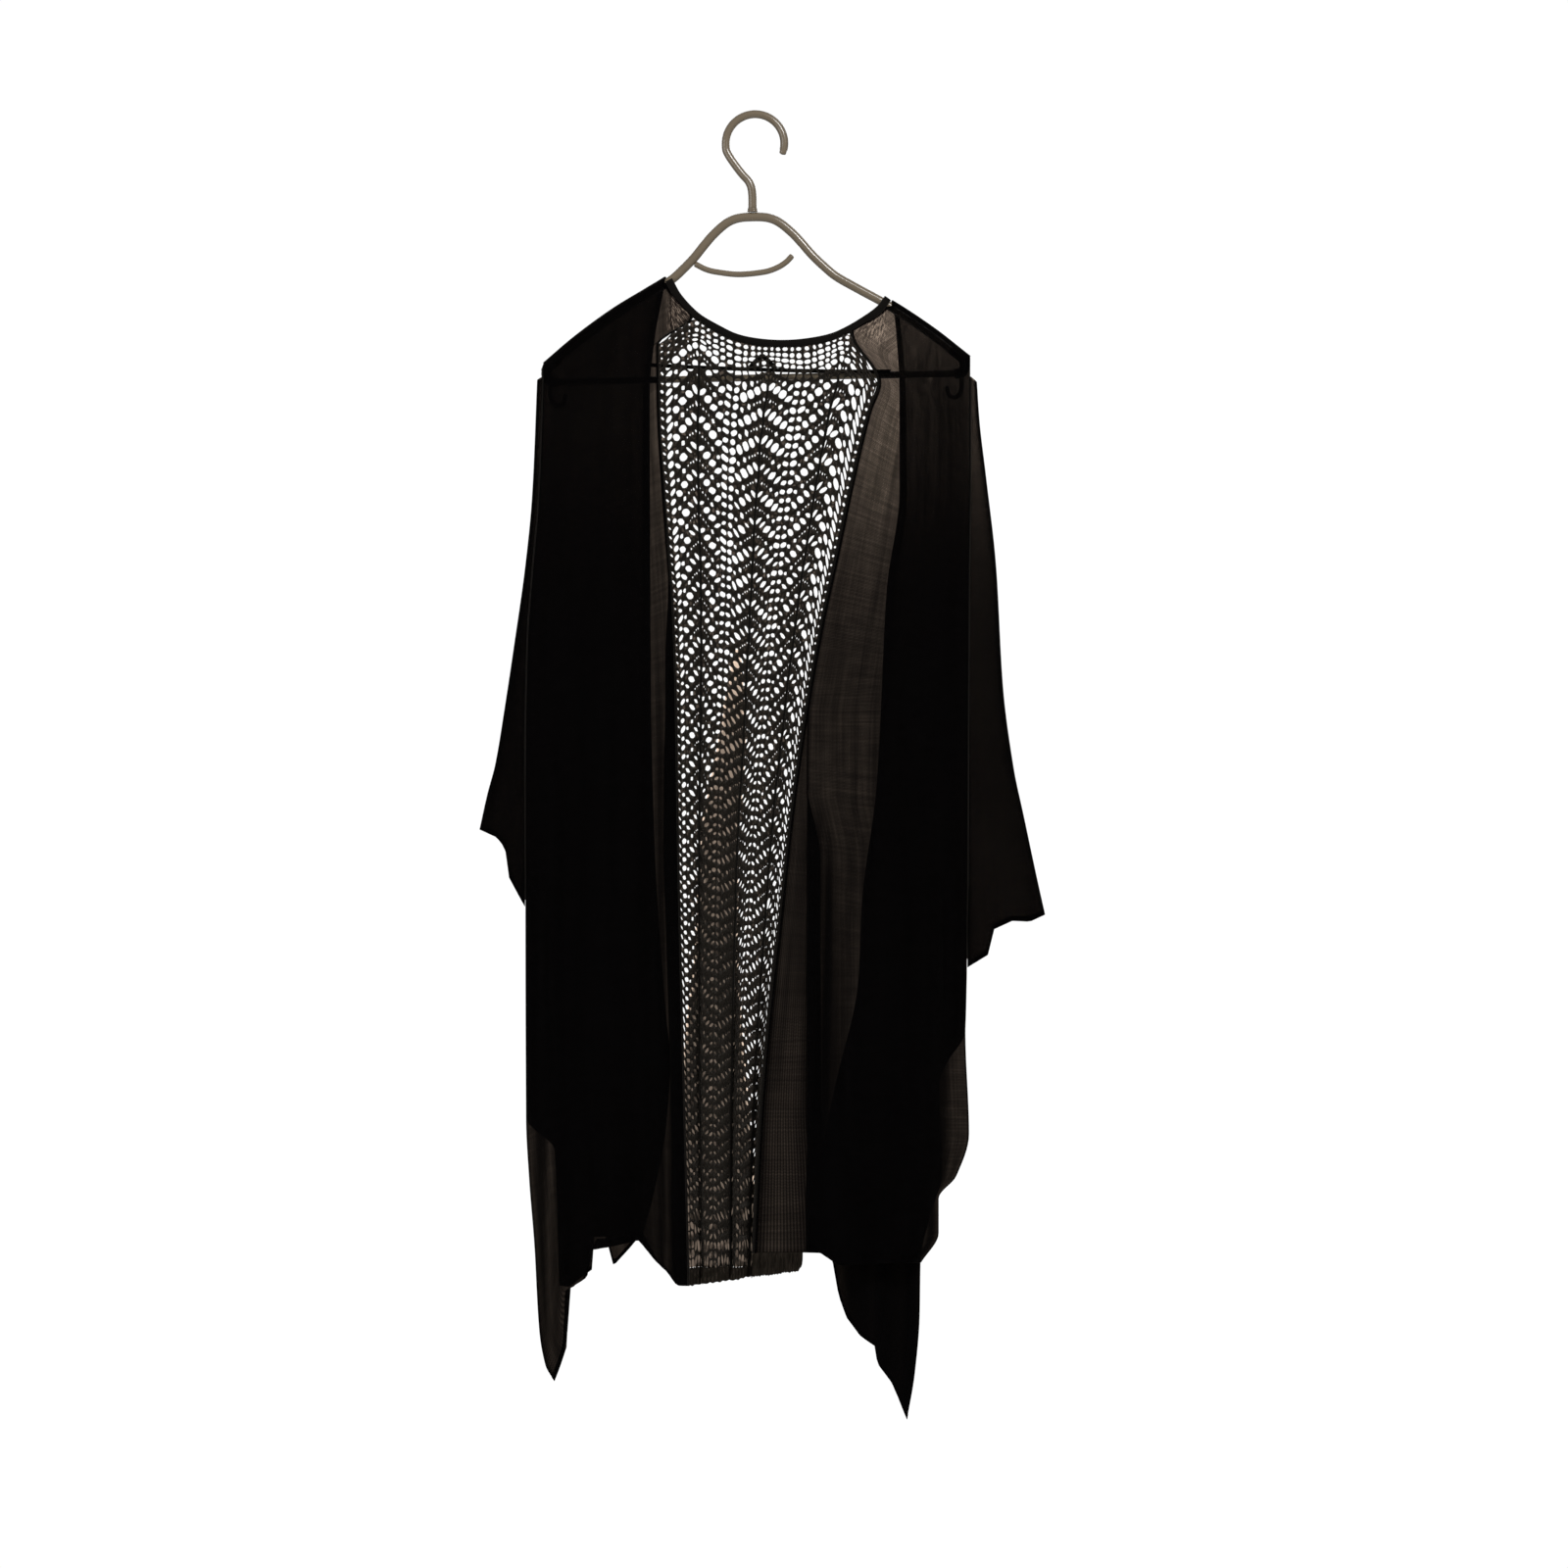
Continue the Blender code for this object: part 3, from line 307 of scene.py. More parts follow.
# Folds of a layer. push is along +Y, so it is inward on the back and outward on the fronts.
Fold = namedtuple("Fold", "x_high x_low z_start z_full half_width push")
FOLDS_BACK_LEFT = (
    Fold(-0.168, -0.178, -0.46, -0.75, 0.010, 0.0060),
    Fold(-0.192, -0.196, -0.40, -0.80, 0.009, -0.0050),
    Fold(-0.142, -0.136, -0.34, -0.70, 0.013, -0.0060),
    Fold(-0.112, -0.112, -0.45, -0.80, 0.009, 0.0045),
    Fold(-0.083, -0.082, -0.48, -0.64, 0.006, 0.0070),
)
FOLDS_BACK_RIGHT = (
    Fold(0.066, 0.054, -0.60, -0.76, 0.007, 0.0090),
    Fold(0.105, 0.086, -0.45, -0.80, 0.012, -0.0055),
    Fold(0.138, 0.130, -0.55, -0.76, 0.009, 0.0060),
    Fold(0.168, 0.158, -0.38, -0.80, 0.013, -0.0065),
    Fold(0.188, 0.184, -0.50, -0.80, 0.008, 0.0040),
)
FOLDS_FRONT_LEFT = (
    Fold(-0.120, -0.112, -0.34, -0.80, 0.011, 0.0060),
    Fold(-0.145, -0.142, -0.40, -0.85, 0.010, -0.0050),
    Fold(-0.172, -0.168, -0.38, -0.80, 0.012, 0.0060),
)
FOLDS_FRONT_RIGHT = (
    Fold(0.148, 0.082, -0.36, -0.90, 0.012, 0.0065),
    Fold(0.165, 0.112, -0.42, -0.90, 0.010, -0.0050),
    Fold(0.180, 0.140, -0.38, -0.90, 0.012, 0.0065),
)

# Pleats of the lace, left to right: visible face and hidden return, as shares of its real width
Pleat = namedtuple("Pleat", "face back")
PLEATS = (Pleat(0.153, 0.096), Pleat(0.277, 0.115), Pleat(0.215, 0.144))
# Real width of the lace where it hangs narrower than it lies flat: z, width
LACE_WIDTH = (
    (-0.3600, 0.1730), (-0.4325, 0.1560), (-0.5860, 0.1440), (-0.6975, 0.1285), (-0.9114, 0.1190),
    (-1.0898, 0.1125),
)

# Columns of one leaf of the lace, left to right: width in mm and kind
LEAF = (
    (6.7, "ladder"), (5.2, "outer"), (5.8, "middle"), (4.8, "slits"), (5.4, "inner"),
    (5.4, "inner"), (4.8, "slits"), (5.8, "middle"), (5.2, "outer"), (6.7, "ladder"),
)
LEAVES = 3
# How far the walls between holes lean away from a leaf's spine, as a share of the lace's width
LEAN = 0.0090
EDGE_WIDTH = 4.6
# Rows of a repeat for each kind: share of the repeat at the row's foot, half width and half height of its hole as
# shares of the cell's, holes side by side, and how far the hole sits above the cell's middle
LACE_ROWS = {
    "edge": ((0.0, 0.50, 0.64, 1, 0), (0.33, 0.54, 0.62, 1, 0), (0.67, 0.46, 0.62, 1, 0)),
    "ladder": ((0.0, 0.72, 0.76, 1, 0), (0.33, 0.76, 0.78, 1, 0), (0.66, 0.70, 0.76, 1, 0)),
    "outer": ((0.0, 0.84, 0.80, 1, -0.04), (0.50, 0.86, 0.84, 1, 0)),
    "middle": ((0.0, 0.96, 0.96, 1, -0.02), (0.50, 0.95, 0.90, 1, 0)),
    "slits": ((0.0, 0.94, 0.92, 2, -0.05), (0.50, 0.86, 0.86, 1, 0)),
    "inner": ((0.0, 0.90, 0.70, 2, -0.18), (0.50, 0.92, 0.88, 1, 0)),
}
# How much of the narrowing towards the hem the holes follow
NARROWING = {"edge": 0.8, "ladder": 0.75, "outer": 1.0, "slits": 1.0, "middle": 0.9, "inner": 1.0}
# Rows of the close net along the neckline, in the last repeat
NET_ROWS = (
    (0.0, 0.74, 0.76, 1, 0), (0.27, 0.80, 0.78, 1, 0), (0.52, 0.74, 0.74, 1, 0), (0.76, 0.62, 0.62, 1, 0),
)
# How wide the lace's holes stand open down its length: z, share
LACE_OPEN = (
    (-0.20, 1.05), (-0.32, 1.14), (-0.40, 1.12), (-0.52, 1.03), (-0.67, 0.96), (-0.82, 0.96), (-0.94, 1.08),
    (-1.09, 1.1),
)
# Where the lace's own folds lie behind it and shade its holes: z, x from, x to, how much light they hold back
LACE_BACKED = (
    (-0.500, -0.0160, -0.0150, 0.0), (-0.540, -0.0240, -0.0120, 0.5), (-0.595, -0.0330, -0.0100, 0.8),
    (-0.688, -0.0500, -0.0170, 0.9), (-0.780, -0.0545, -0.0170, 1.0), (-0.874, -0.0640, -0.0120, 1.0),
    (-0.958, -0.0710, -0.0050, 1.0), (-1.050, -0.0750, 0.0010, 1.0), (-1.090, -0.0800, 0.0060, 1.0),
)
# Folds laid over in the cloth: z, x of the fold that lies on top, x of the fold under it
TUCKS_BACK_RIGHT = (
    ((-0.640, 0.0500, 0.0500), (-0.700, 0.0498, 0.0620), (-0.930, 0.0498, 0.0630), (-1.000, 0.0496, 0.0700),
     (-1.080, 0.0490, 0.0780)),
)
TUCKS_BACK_LEFT = (
    ((-0.400, -0.0790, -0.0790), (-0.520, -0.0832, -0.0690), (-0.680, -0.0856, -0.0690), (-0.820, -0.0815, -0.0660),
     (-0.960, -0.0785, -0.0640), (-1.100, -0.0770, -0.0600)),
)
# Where the cloth hangs gathered and lets less light through, partly for its denser cloth and partly as painted shade of
# its folds: z, x, half width, how much denser
GATHERS = {
    "back_right": (
        ((-0.640, 0.0740, 0.010, 0.0), (-0.760, 0.0750, 0.013, 0.20), (-0.930, 0.0745, 0.014, 0.30),
         (-1.080, 0.0780, 0.016, 0.35)),
        ((-0.630, 0.0560, 0.010, 0.0), (-0.700, 0.0560, 0.011, 0.20), (-1.080, 0.0560, 0.009, 0.25)),
    ),
    "back_left": (
        ((-0.480, -0.0880, 0.006, 0.0), (-0.800, -0.0860, 0.007, 0.12), (-1.090, -0.0960, 0.018, 0.25)),
    ),
    "front_right": (
        ((-1.000, 0.1200, 0.06, 0.0), (-1.090, 0.1250, 0.06, 0.9), (-1.240, 0.1420, 0.06, 0.9)),
    ),
}


def smooth(share):
    """0 to 1 with soft ends."""
    share = min(1.0, max(0.0, share))
    return share * share * (3.0 - 2.0 * share)


def wander(x, y, z):
    """Smooth noise at a place, from -1 to 1."""
    return noise.noise(Vector((x, y, z)))


class Line:
    """A smooth line through a table's rows that never overshoots them."""

    def __init__(self, rows, column=1, soft=True):
        ordered = sorted(rows)
        self.at = [row[0] for row in ordered]
        self.value = [row[column] for row in ordered]
        steps = [b - a for a, b in zip(self.at, self.at[1:])]
        rises = [(d - c) / step for c, d, step in zip(self.value, self.value[1:], steps)]
        self.slope = [rises[0]]
        for before, after in zip(rises, rises[1:]):
            self.slope.append(2 * before * after / (before + after) if before * after > 0 else 0.0)
        self.slope.append(rises[-1])
        self.soft = soft

    def __call__(self, at):
        if at <= self.at[0]:
            return self.value[0]
        if at >= self.at[-1]:
            return self.value[-1]
        index = bisect_right(self.at, at) - 1
        step = self.at[index + 1] - self.at[index]
        t = (at - self.at[index]) / step
        low, high = self.value[index], self.value[index + 1]
        if not self.soft:
            return low + t * (high - low)
        m_low, m_high = self.slope[index] * step, self.slope[index + 1] * step
        return (
            low + t * m_low
            + t * t * (3 * (high - low) - 2 * m_low - m_high)
            + t * t * t * (2 * (low - high) + m_low + m_high)
        )


def tilted(x, z):
    """A point of the level hanger where it hangs: x, z."""
    offset = Matrix.Rotation(HANG_TILT, 2) @ Vector((x, z - ARCH_Z))
    return NECK_X + offset.x, ARCH_Z + offset.y


def mirrored(points):
    """A line from the left end to the right end, given its right half from the middle outwards."""
    return [(-x, z) for x, z in reversed(points[1:])] + list(points)


def rounded(points, steps=3):
    """A smooth line through points, each stretch split into steps (a Catmull-Rom spline)."""
    points = [Vector(point) for point in points]
    padded = [2 * points[0] - points[1]] + points + [2 * points[-1] - points[-2]]
    line = []
    for before, start, end, after in zip(padded, padded[1:], padded[2:], padded[3:]):
        for part in range(steps):
            t = part / steps
            line.append(
                0.5 * (2 * start + (end - before) * t + (2 * before - 5 * start + 4 * end - after) * t**2
                       + (3 * start - before - 3 * end + after) * t**3)
            )
    return line + [points[-1]]


ARMS = Line([tilted(x, z) for x, z in mirrored(ARM_LINE + ((0.2120, -0.2450),))])
LACE_LEFT_LINE = Line(LACE_LEFT)
LACE_RIGHT_LINE = Line(LACE_RIGHT)
LACE_WIDTH_LINE = Line(LACE_WIDTH)
LACE_TOP_LINE = Line([(x, z - trim) for x, z, trim in LACE_TOP])
LACE_OPEN_LINE = Line(LACE_OPEN)
BACKED_FROM, BACKED_TO, BACKED = (Line(LACE_BACKED, column) for column in (1, 2, 3))

Layer = namedtuple("Layer", "sign side inner hem opening folds rows")
LAYERS = {
    "back_left": Layer(
        -1, Line(BACK_SIDE_LEFT), Line(YOKE_LEFT + LACE_LEFT), Line(HEM_BACK_LEFT, soft=False), Line(OPEN_LEFT),
        FOLDS_BACK_LEFT, ROWS_BACK_LEFT),
    "back_right": Layer(
        -1, Line(BACK_SIDE_RIGHT), Line(YOKE_RIGHT + LACE_RIGHT), Line(HEM_BACK_RIGHT, soft=False),
        Line(OPEN_RIGHT), FOLDS_BACK_RIGHT, ROWS_BACK_RIGHT),
    "front_left": Layer(
        1, Line(FRONT_SIDE_LEFT), Line(FRONT_EDGE_LEFT), Line(HEM_FRONT_LEFT, soft=False), Line(OPEN_LEFT),
        FOLDS_FRONT_LEFT, ROWS_FRONT_LEFT),
    "front_right": Layer(
        1, Line(FRONT_SIDE_RIGHT), Line(FRONT_EDGE_RIGHT), Line(HEM_FRONT_RIGHT, soft=False), Line(OPEN_RIGHT),
        FOLDS_FRONT_RIGHT, ROWS_FRONT_RIGHT),
}
# Lace edges alone, for the depth of the back layers
LACE_SIDE = {"back_left": Line(LACE_LEFT), "back_right": Line(LACE_RIGHT)}


def arm_top(x):
    """Height of the cloth's middle surface over an arm, and the cosine of its slope there."""
    step = 0.004
    slope = (ARMS(x + step) - ARMS(x - step)) / (2 * step)
    lean = 1.0 / math.hypot(1.0, slope)
    return ARMS(x) + CURL / lean, lean


def layer_depth(x, z, side_x, side_depth, plain_depth):
    """Distance of a layer from the middle plane: round an arm, out to its drape, and in again at the side."""
    top, lean = arm_top(x)
    below = (top - z) * lean
    if below < CURL:
        return math.sqrt(max(0.0, CURL**2 - (CURL - below) ** 2))
    hang = CURL + (plain_depth - CURL) * smooth((below - CURL) / DRAPE_FALL)
    inwards = smooth(abs(x - side_x) / SIDE_ROUND)
    return side_depth + (hang - side_depth) * inwards


def fold_push(folds, x, z):
    """Displacement along +Y of all folds that pass a point."""
    push = 0.0
    for fold in folds:
        grown = smooth((fold.z_start - z) / (fold.z_start - fold.z_full))
        middle = fold.x_high + (fold.x_low - fold.x_high) * smooth((fold.z_start - z) / 0.7)
        push += fold.push * grown * math.exp(-(((x - middle) / fold.half_width) ** 2))
    return push


def lace_front(z):
    """Distance of the lace's front edges from the middle plane."""
    return DRAPE_DEPTH + (LACE_DEPTH - DRAPE_DEPTH) * smooth((LACE_TOP[-1][1] - 0.05 - z) / 0.28)


def ripple(x, z, depth):
    """Small soft creases that run down the cloth, along +Y."""
    grown = smooth((-0.27 - z) / 0.20)
    tall = wander(x * 46.0, z * 3.2, 1.7)
    fine = wander(x * 105.0, z * 7.0, 5.3)
    return depth * grown * (tall + 0.4 * fine)


def layer_y(name, x, z, crease):
    """Place along Y of a back or front layer."""
    layer = LAYERS[name]
    side_x = layer.side(z)
    opening = layer.opening(z)
    if layer.sign < 0:
        edge_x = LACE_SIDE[name](z)
        plain = DRAPE_DEPTH + (lace_front(z) - DRAPE_DEPTH) * smooth((x - side_x) / (edge_x - side_x))
        fade = smooth(abs(x - side_x) / 0.012) * smooth((abs(x - edge_x) - 0.001) / 0.006)
        push = fold_push(layer.folds, x, z) * fade
    else:
        plain = DRAPE_DEPTH
        fade = smooth(abs(x - side_x) / 0.012)
        push = fold_push(layer.folds, x, z) * fade
    return layer.sign * layer_depth(x, z, side_x, opening, plain) + push + ripple(x, z, crease) * fade


def tucked(grid, sign, tucks):
    """The same panel with folds laid over: each fold runs forward, back under itself, and forward again."""
    rightwards = grid[TUCK_ROW, 0, 0] < grid[TUCK_ROW, -1, 0]
    turned = grid if rightwards else grid[:, ::-1]
    first_x, last_x = turned[TUCK_ROW, 0, 0], turned[TUCK_ROW, -1, 0]
    rows = []
    for row in turned:
        z_mid = float(row[:, 2].mean())
        line = []
        start = row[0, 0]
        for tuck in tucks:
            z_at = float(np.interp(tuck[0][1], row[:, 0], row[:, 2]))
            x_from = Line(tuck, 1)(z_at) + 0.0016 * wander(z_at * 13.0, 0.0, 2.0)
            x_to = Line(tuck, 2)(z_at) + 0.0020 * wander(z_at * 11.0, 5.0, 2.0)
            x_from = min(max(x_from, row[0, 0] + 0.001), row[-1, 0] - 0.0012)
            x_to = max(min(x_to, row[-1, 0] - 0.0006), x_from)
            count = max(6, round((tuck[0][1] - first_x) * len(row) / (last_x - first_x)))
            line += [(x, 0.0) for x in np.linspace(start, x_to, count)]
            line += [(x, TUCK_GAP) for x in np.linspace(x_to, x_from, 6)]
            line.append((x_from - 0.0002, TUCK_GAP * 1.5))
            line += [(x, 2 * TUCK_GAP) for x in np.linspace(x_from, x_to, 6)]
            start = x_to
        tail = max(5, len(row) - len(line) + 16)
        line += [
            (x, 2 * TUCK_GAP * (1.0 - smooth((x - start) / 0.02)))
            for x in np.linspace(start, row[-1, 0], tail)[1:]
        ]
        x, lift = np.array(line).T
        y = np.interp(x, row[:, 0], row[:, 1]) + lift * sign * smooth((-0.40 - z_mid) / 0.1)
        rows.append(np.stack((x, y, np.interp(x, row[:, 0], row[:, 2])), axis=-1))
    made = np.array(rows)
    return made if rightwards else made[:, ::-1]


def layer_grid(name, columns, crease):
    """Points of a layer from the crest of its shoulder to its hem: rows x columns x 3."""
    layer = LAYERS[name]
    inwards = 1.0 if layer.side(-0.3) < layer.inner(-0.3) else -1.0
    start = (layer.side(-0.24) + inwards * SEAM / 2, layer.inner(0.0))
    tops = [arm_top(start[0] + (start[1] - start[0]) * step / columns) for step in range(columns + 1)]
    grid = []
    for angle in (2, 14, 28, 42, 56, 70, 82):
        section = []
        for step, (top, lean) in enumerate(tops):
            x = start[0] + (start[1] - start[0]) * step / columns
            z = top - CURL * (1.0 - math.cos(math.radians(angle))) / lean
            section.append((x, layer.sign * layer_depth(x, z, layer.side(z), CURL, DRAPE_DEPTH), z))
        grid.append(section)
    heads = (tops[0][0] - CURL / tops[0][1], tops[-1][0] - CURL / tops[-1][1])
    side_rows = Line([(0, heads[0])] + [(index + 1, row[0]) for index, row in enumerate(layer.rows)])
    inner_rows = Line([(0, heads[1])] + [(index + 1, row[1]) for index, row in enumerate(layer.rows)])
    last_z = layer.rows[-1]
    last_x = (layer.side(last_z[0]), layer.inner(last_z[1]))
    count = round((heads[0] - last_z[0]) / ROW_STEP)
    top_line = (tops[0][0], tops[-1][0])
    for number in range(count + 1):
        down = number / count
        z_side, z_inner = side_rows(down * len(layer.rows)), inner_rows(down * len(layer.rows))
        x_side = layer.side(z_side) + inwards * SEAM / 2
        x_inner = layer.inner(z_inner) - inwards * SEAM / 2
        section = []
        for step in range(columns + 1):
            across = step / columns
            x = x_side + (x_inner - x_side) * across
            top_bow = (tops[step][0] - top_line[0] * (1.0 - across) - top_line[1] * across) * (1.0 - down) ** 3
            hem_bow = (
                layer.hem(last_x[0] + (last_x[1] - last_x[0]) * across)
                - last_z[0] * (1.0 - across) - last_z[1] * across
            ) * down**5
            z = z_side + (z_inner - z_side) * across + top_bow + hem_bow
            section.append((x, layer_y(name, x, z, crease), z))
        grid.append(section)
    return np.array(grid)


def sleeve_grid(rows, armhole, outline, cuff, opening, around, row_steps, crease):
    """Points of a sleeve from the back of its armhole round its outer fold to the front: rows x columns x 3."""
    outwards = 1.0 if outline.value[0] > 0 else -1.0
    inner_rows = Line(list(enumerate(row[0] for row in rows)))
    outer_rows = Line(list(enumerate(row[1] for row in rows)))
    last = rows[-1]
    ends = (armhole(last[0]), outline(last[1]))
    shares = [math.sin(math.pi / 2 * step / around) for step in range(around + 1)]
    grid = []
    count = (len(rows) - 1) * row_steps
    for number in range(count + 1):
        down = number / count
        z_inner, z_outer = inner_rows(number / row_steps), outer_rows(number / row_steps)
        x_inner = armhole(z_inner) + outwards * SEAM / 2
        x_outer = outline(z_outer) - outwards * WALL / 2
        edge = opening(z_inner)
        back, front = [], []
        for share in shares:
            belly = edge + (SLEEVE_HALF - edge) * math.sin(math.pi * min(share, 0.5))
            y = belly * math.sqrt(max(0.0, 1.0 - share**3))
            line = last[0] + (last[1] - last[0]) * share
            bow = (cuff(ends[0] + (ends[1] - ends[0]) * share) - line) * down**6
            x, z = x_inner + (x_outer - x_inner) * share, z_inner + (z_outer - z_inner) * share + bow
            soft = crease * min(1.0, y / 0.004) * smooth(share * 6.0)
            back.append((x, -y + ripple(x, z, soft), z))
            front.append((x, y + ripple(x + 0.3, z, soft), z))
        section = back + front[-2::-1]
        grid.append(section if outwards > 0 else section[::-1])
    return np.array(grid)


def pleat_angle(width, real_width):
    """Turn of a pleat's return at which the pleated lace is as wide as it hangs."""
    low, high = 0.0, math.pi / 2
    for _ in range(30):
        middle = (low + high) / 2
        reach = sum(
            real_width
            * (math.sqrt(pleat.face**2 - (pleat.back * math.sin(middle)) ** 2) + pleat.back * math.cos(middle))
            for pleat in PLEATS
        )
        low, high = (middle, high) if reach > width else (low, middle)
    return low


class LaceForm:
    """The draped and pleated lace as a table of points over its height and the share of its width."""

    def __init__(self, steps=240, z_step=0.004):
        self.steps = steps
        self.z_top = LACE_TOP_LINE(-0.0549) + 0.006
        self.z_step = z_step
        levels = math.ceil((self.z_top + 1.112) / z_step) + 1
        self.table = np.array([self.section(self.z_top - z_step * level) for level in range(levels)])
        tangent = np.gradient(self.table, axis=1)
        length = np.hypot(tangent[..., 0], tangent[..., 1])[..., None]
        self.normal = np.stack((tangent[..., 1], -tangent[..., 0]), axis=-1) / length

    def section(self, z):
        """x and y along the lace at one height, with its folds rounded."""
        left = LACE_LEFT_LINE(z) + SEAM / 2 + LACE_CLEAR_LEFT
        width = LACE_RIGHT_LINE(z) - SEAM / 2 - LACE_CLEAR_RIGHT - left
        real = max(width, LACE_WIDTH_LINE(z)) if z < LACE_WIDTH[0][0] else width
        turn = pleat_angle(width, real)
        shares, xs, depths = [0.0], [left], [0.0]
        for pleat in PLEATS:
            face_turn = math.asin(pleat.back * math.sin(turn) / pleat.face)
            for length, angle in ((pleat.face, face_turn), (pleat.back, -turn)):
                shares.append(shares[-1] + length)
                xs.append(xs[-1] + length * real * math.cos(angle))
                depths.append(depths[-1] + length * real * math.sin(angle))
        shares = [share / shares[-1] for share in shares]
        at = np.linspace(0.0, 1.0, self.steps + 1)
        x, depth = np.interp(at, shares, xs), np.interp(at, shares, depths)
        half = 4
        kernel = np.ones(2 * half + 1) / (2 * half + 1)
        for line in (x, depth):
            start, end = line[0], line[-1]
            padded = np.concatenate((2 * start - line[half:0:-1], line, 2 * end - line[-2:-half - 2:-1]))
            line[:] = np.convolve(padded, kernel, mode="valid")
        return np.stack((x, depth - lace_front(z)), axis=-1)

    def __call__(self, share, z, lift=0.0):
        """A point of the lace, lifted off its middle surface towards the back of the garment."""
        row = min(max((self.z_top - z) / self.z_step, 0.0), len(self.table) - 1.001)
        column = min(max(share * self.steps, 0.0), self.steps - 0.001)
        i, j = int(row), int(column)
        a, b = row - i, column - j
        weights = ((1 - a) * (1 - b), (1 - a) * b, a * (1 - b), a * b)
        cells = ((i, j), (i, j + 1), (i + 1, j), (i + 1, j + 1))
        x, y = sum(weight * self.table[cell] for weight, cell in zip(weights, cells))
        if lift:
            nx, ny = sum(weight * self.normal[cell] for weight, cell in zip(weights, cells))
            x, y = x + nx * lift, y + ny * lift
        soft = 0.0009 * smooth((LACE_TOP_LINE(x) - z) / 0.05) * smooth(min(share, 1.0 - share) / 0.05)
        y += soft * wander(share * 9.0, z * 14.0, 0.6)
        return x, y, z


LACE = LaceForm()


def lace_level(share, rows_up, rows, rise):
    """Height of a line of the lace's chart: straight at the foot, and along the neckline at its top."""
    left, right = LACE_LEFT_LINE(-0.3), LACE_RIGHT_LINE(-0.25)
    top = LACE_TOP_LINE(left + (right - left) * share)
    up = rows_up / rows
    rise *= smooth(rows_up / 3.0) * smooth((rows - rows_up) / 2.6) * (0.66 + 0.34 * smooth((up - 0.36) / 0.30))
    return LACE_FOOT_Z + (top - LACE_FOOT_Z) * up + rise


def lace_columns():
    """Shares of the lace's width where the chart's columns meet, their kinds, the leaves' spines and half width."""
    columns = [(EDGE_WIDTH, "edge")] + [column for _ in range(LEAVES) for column in LEAF] + [(EDGE_WIDTH, "edge")]
    total = sum(width for width, _ in columns)
    shares = [0.0]
    for width, _ in columns:
        shares.append(shares[-1] + width / total)
    leaf = sum(width for width, _ in LEAF) / total
    half = leaf / 2
    first = EDGE_WIDTH / total + leaf / 2
    spines = [first + leaf * number for number in range(LEAVES)]
    return shares, [kind for _, kind in columns], spines, half


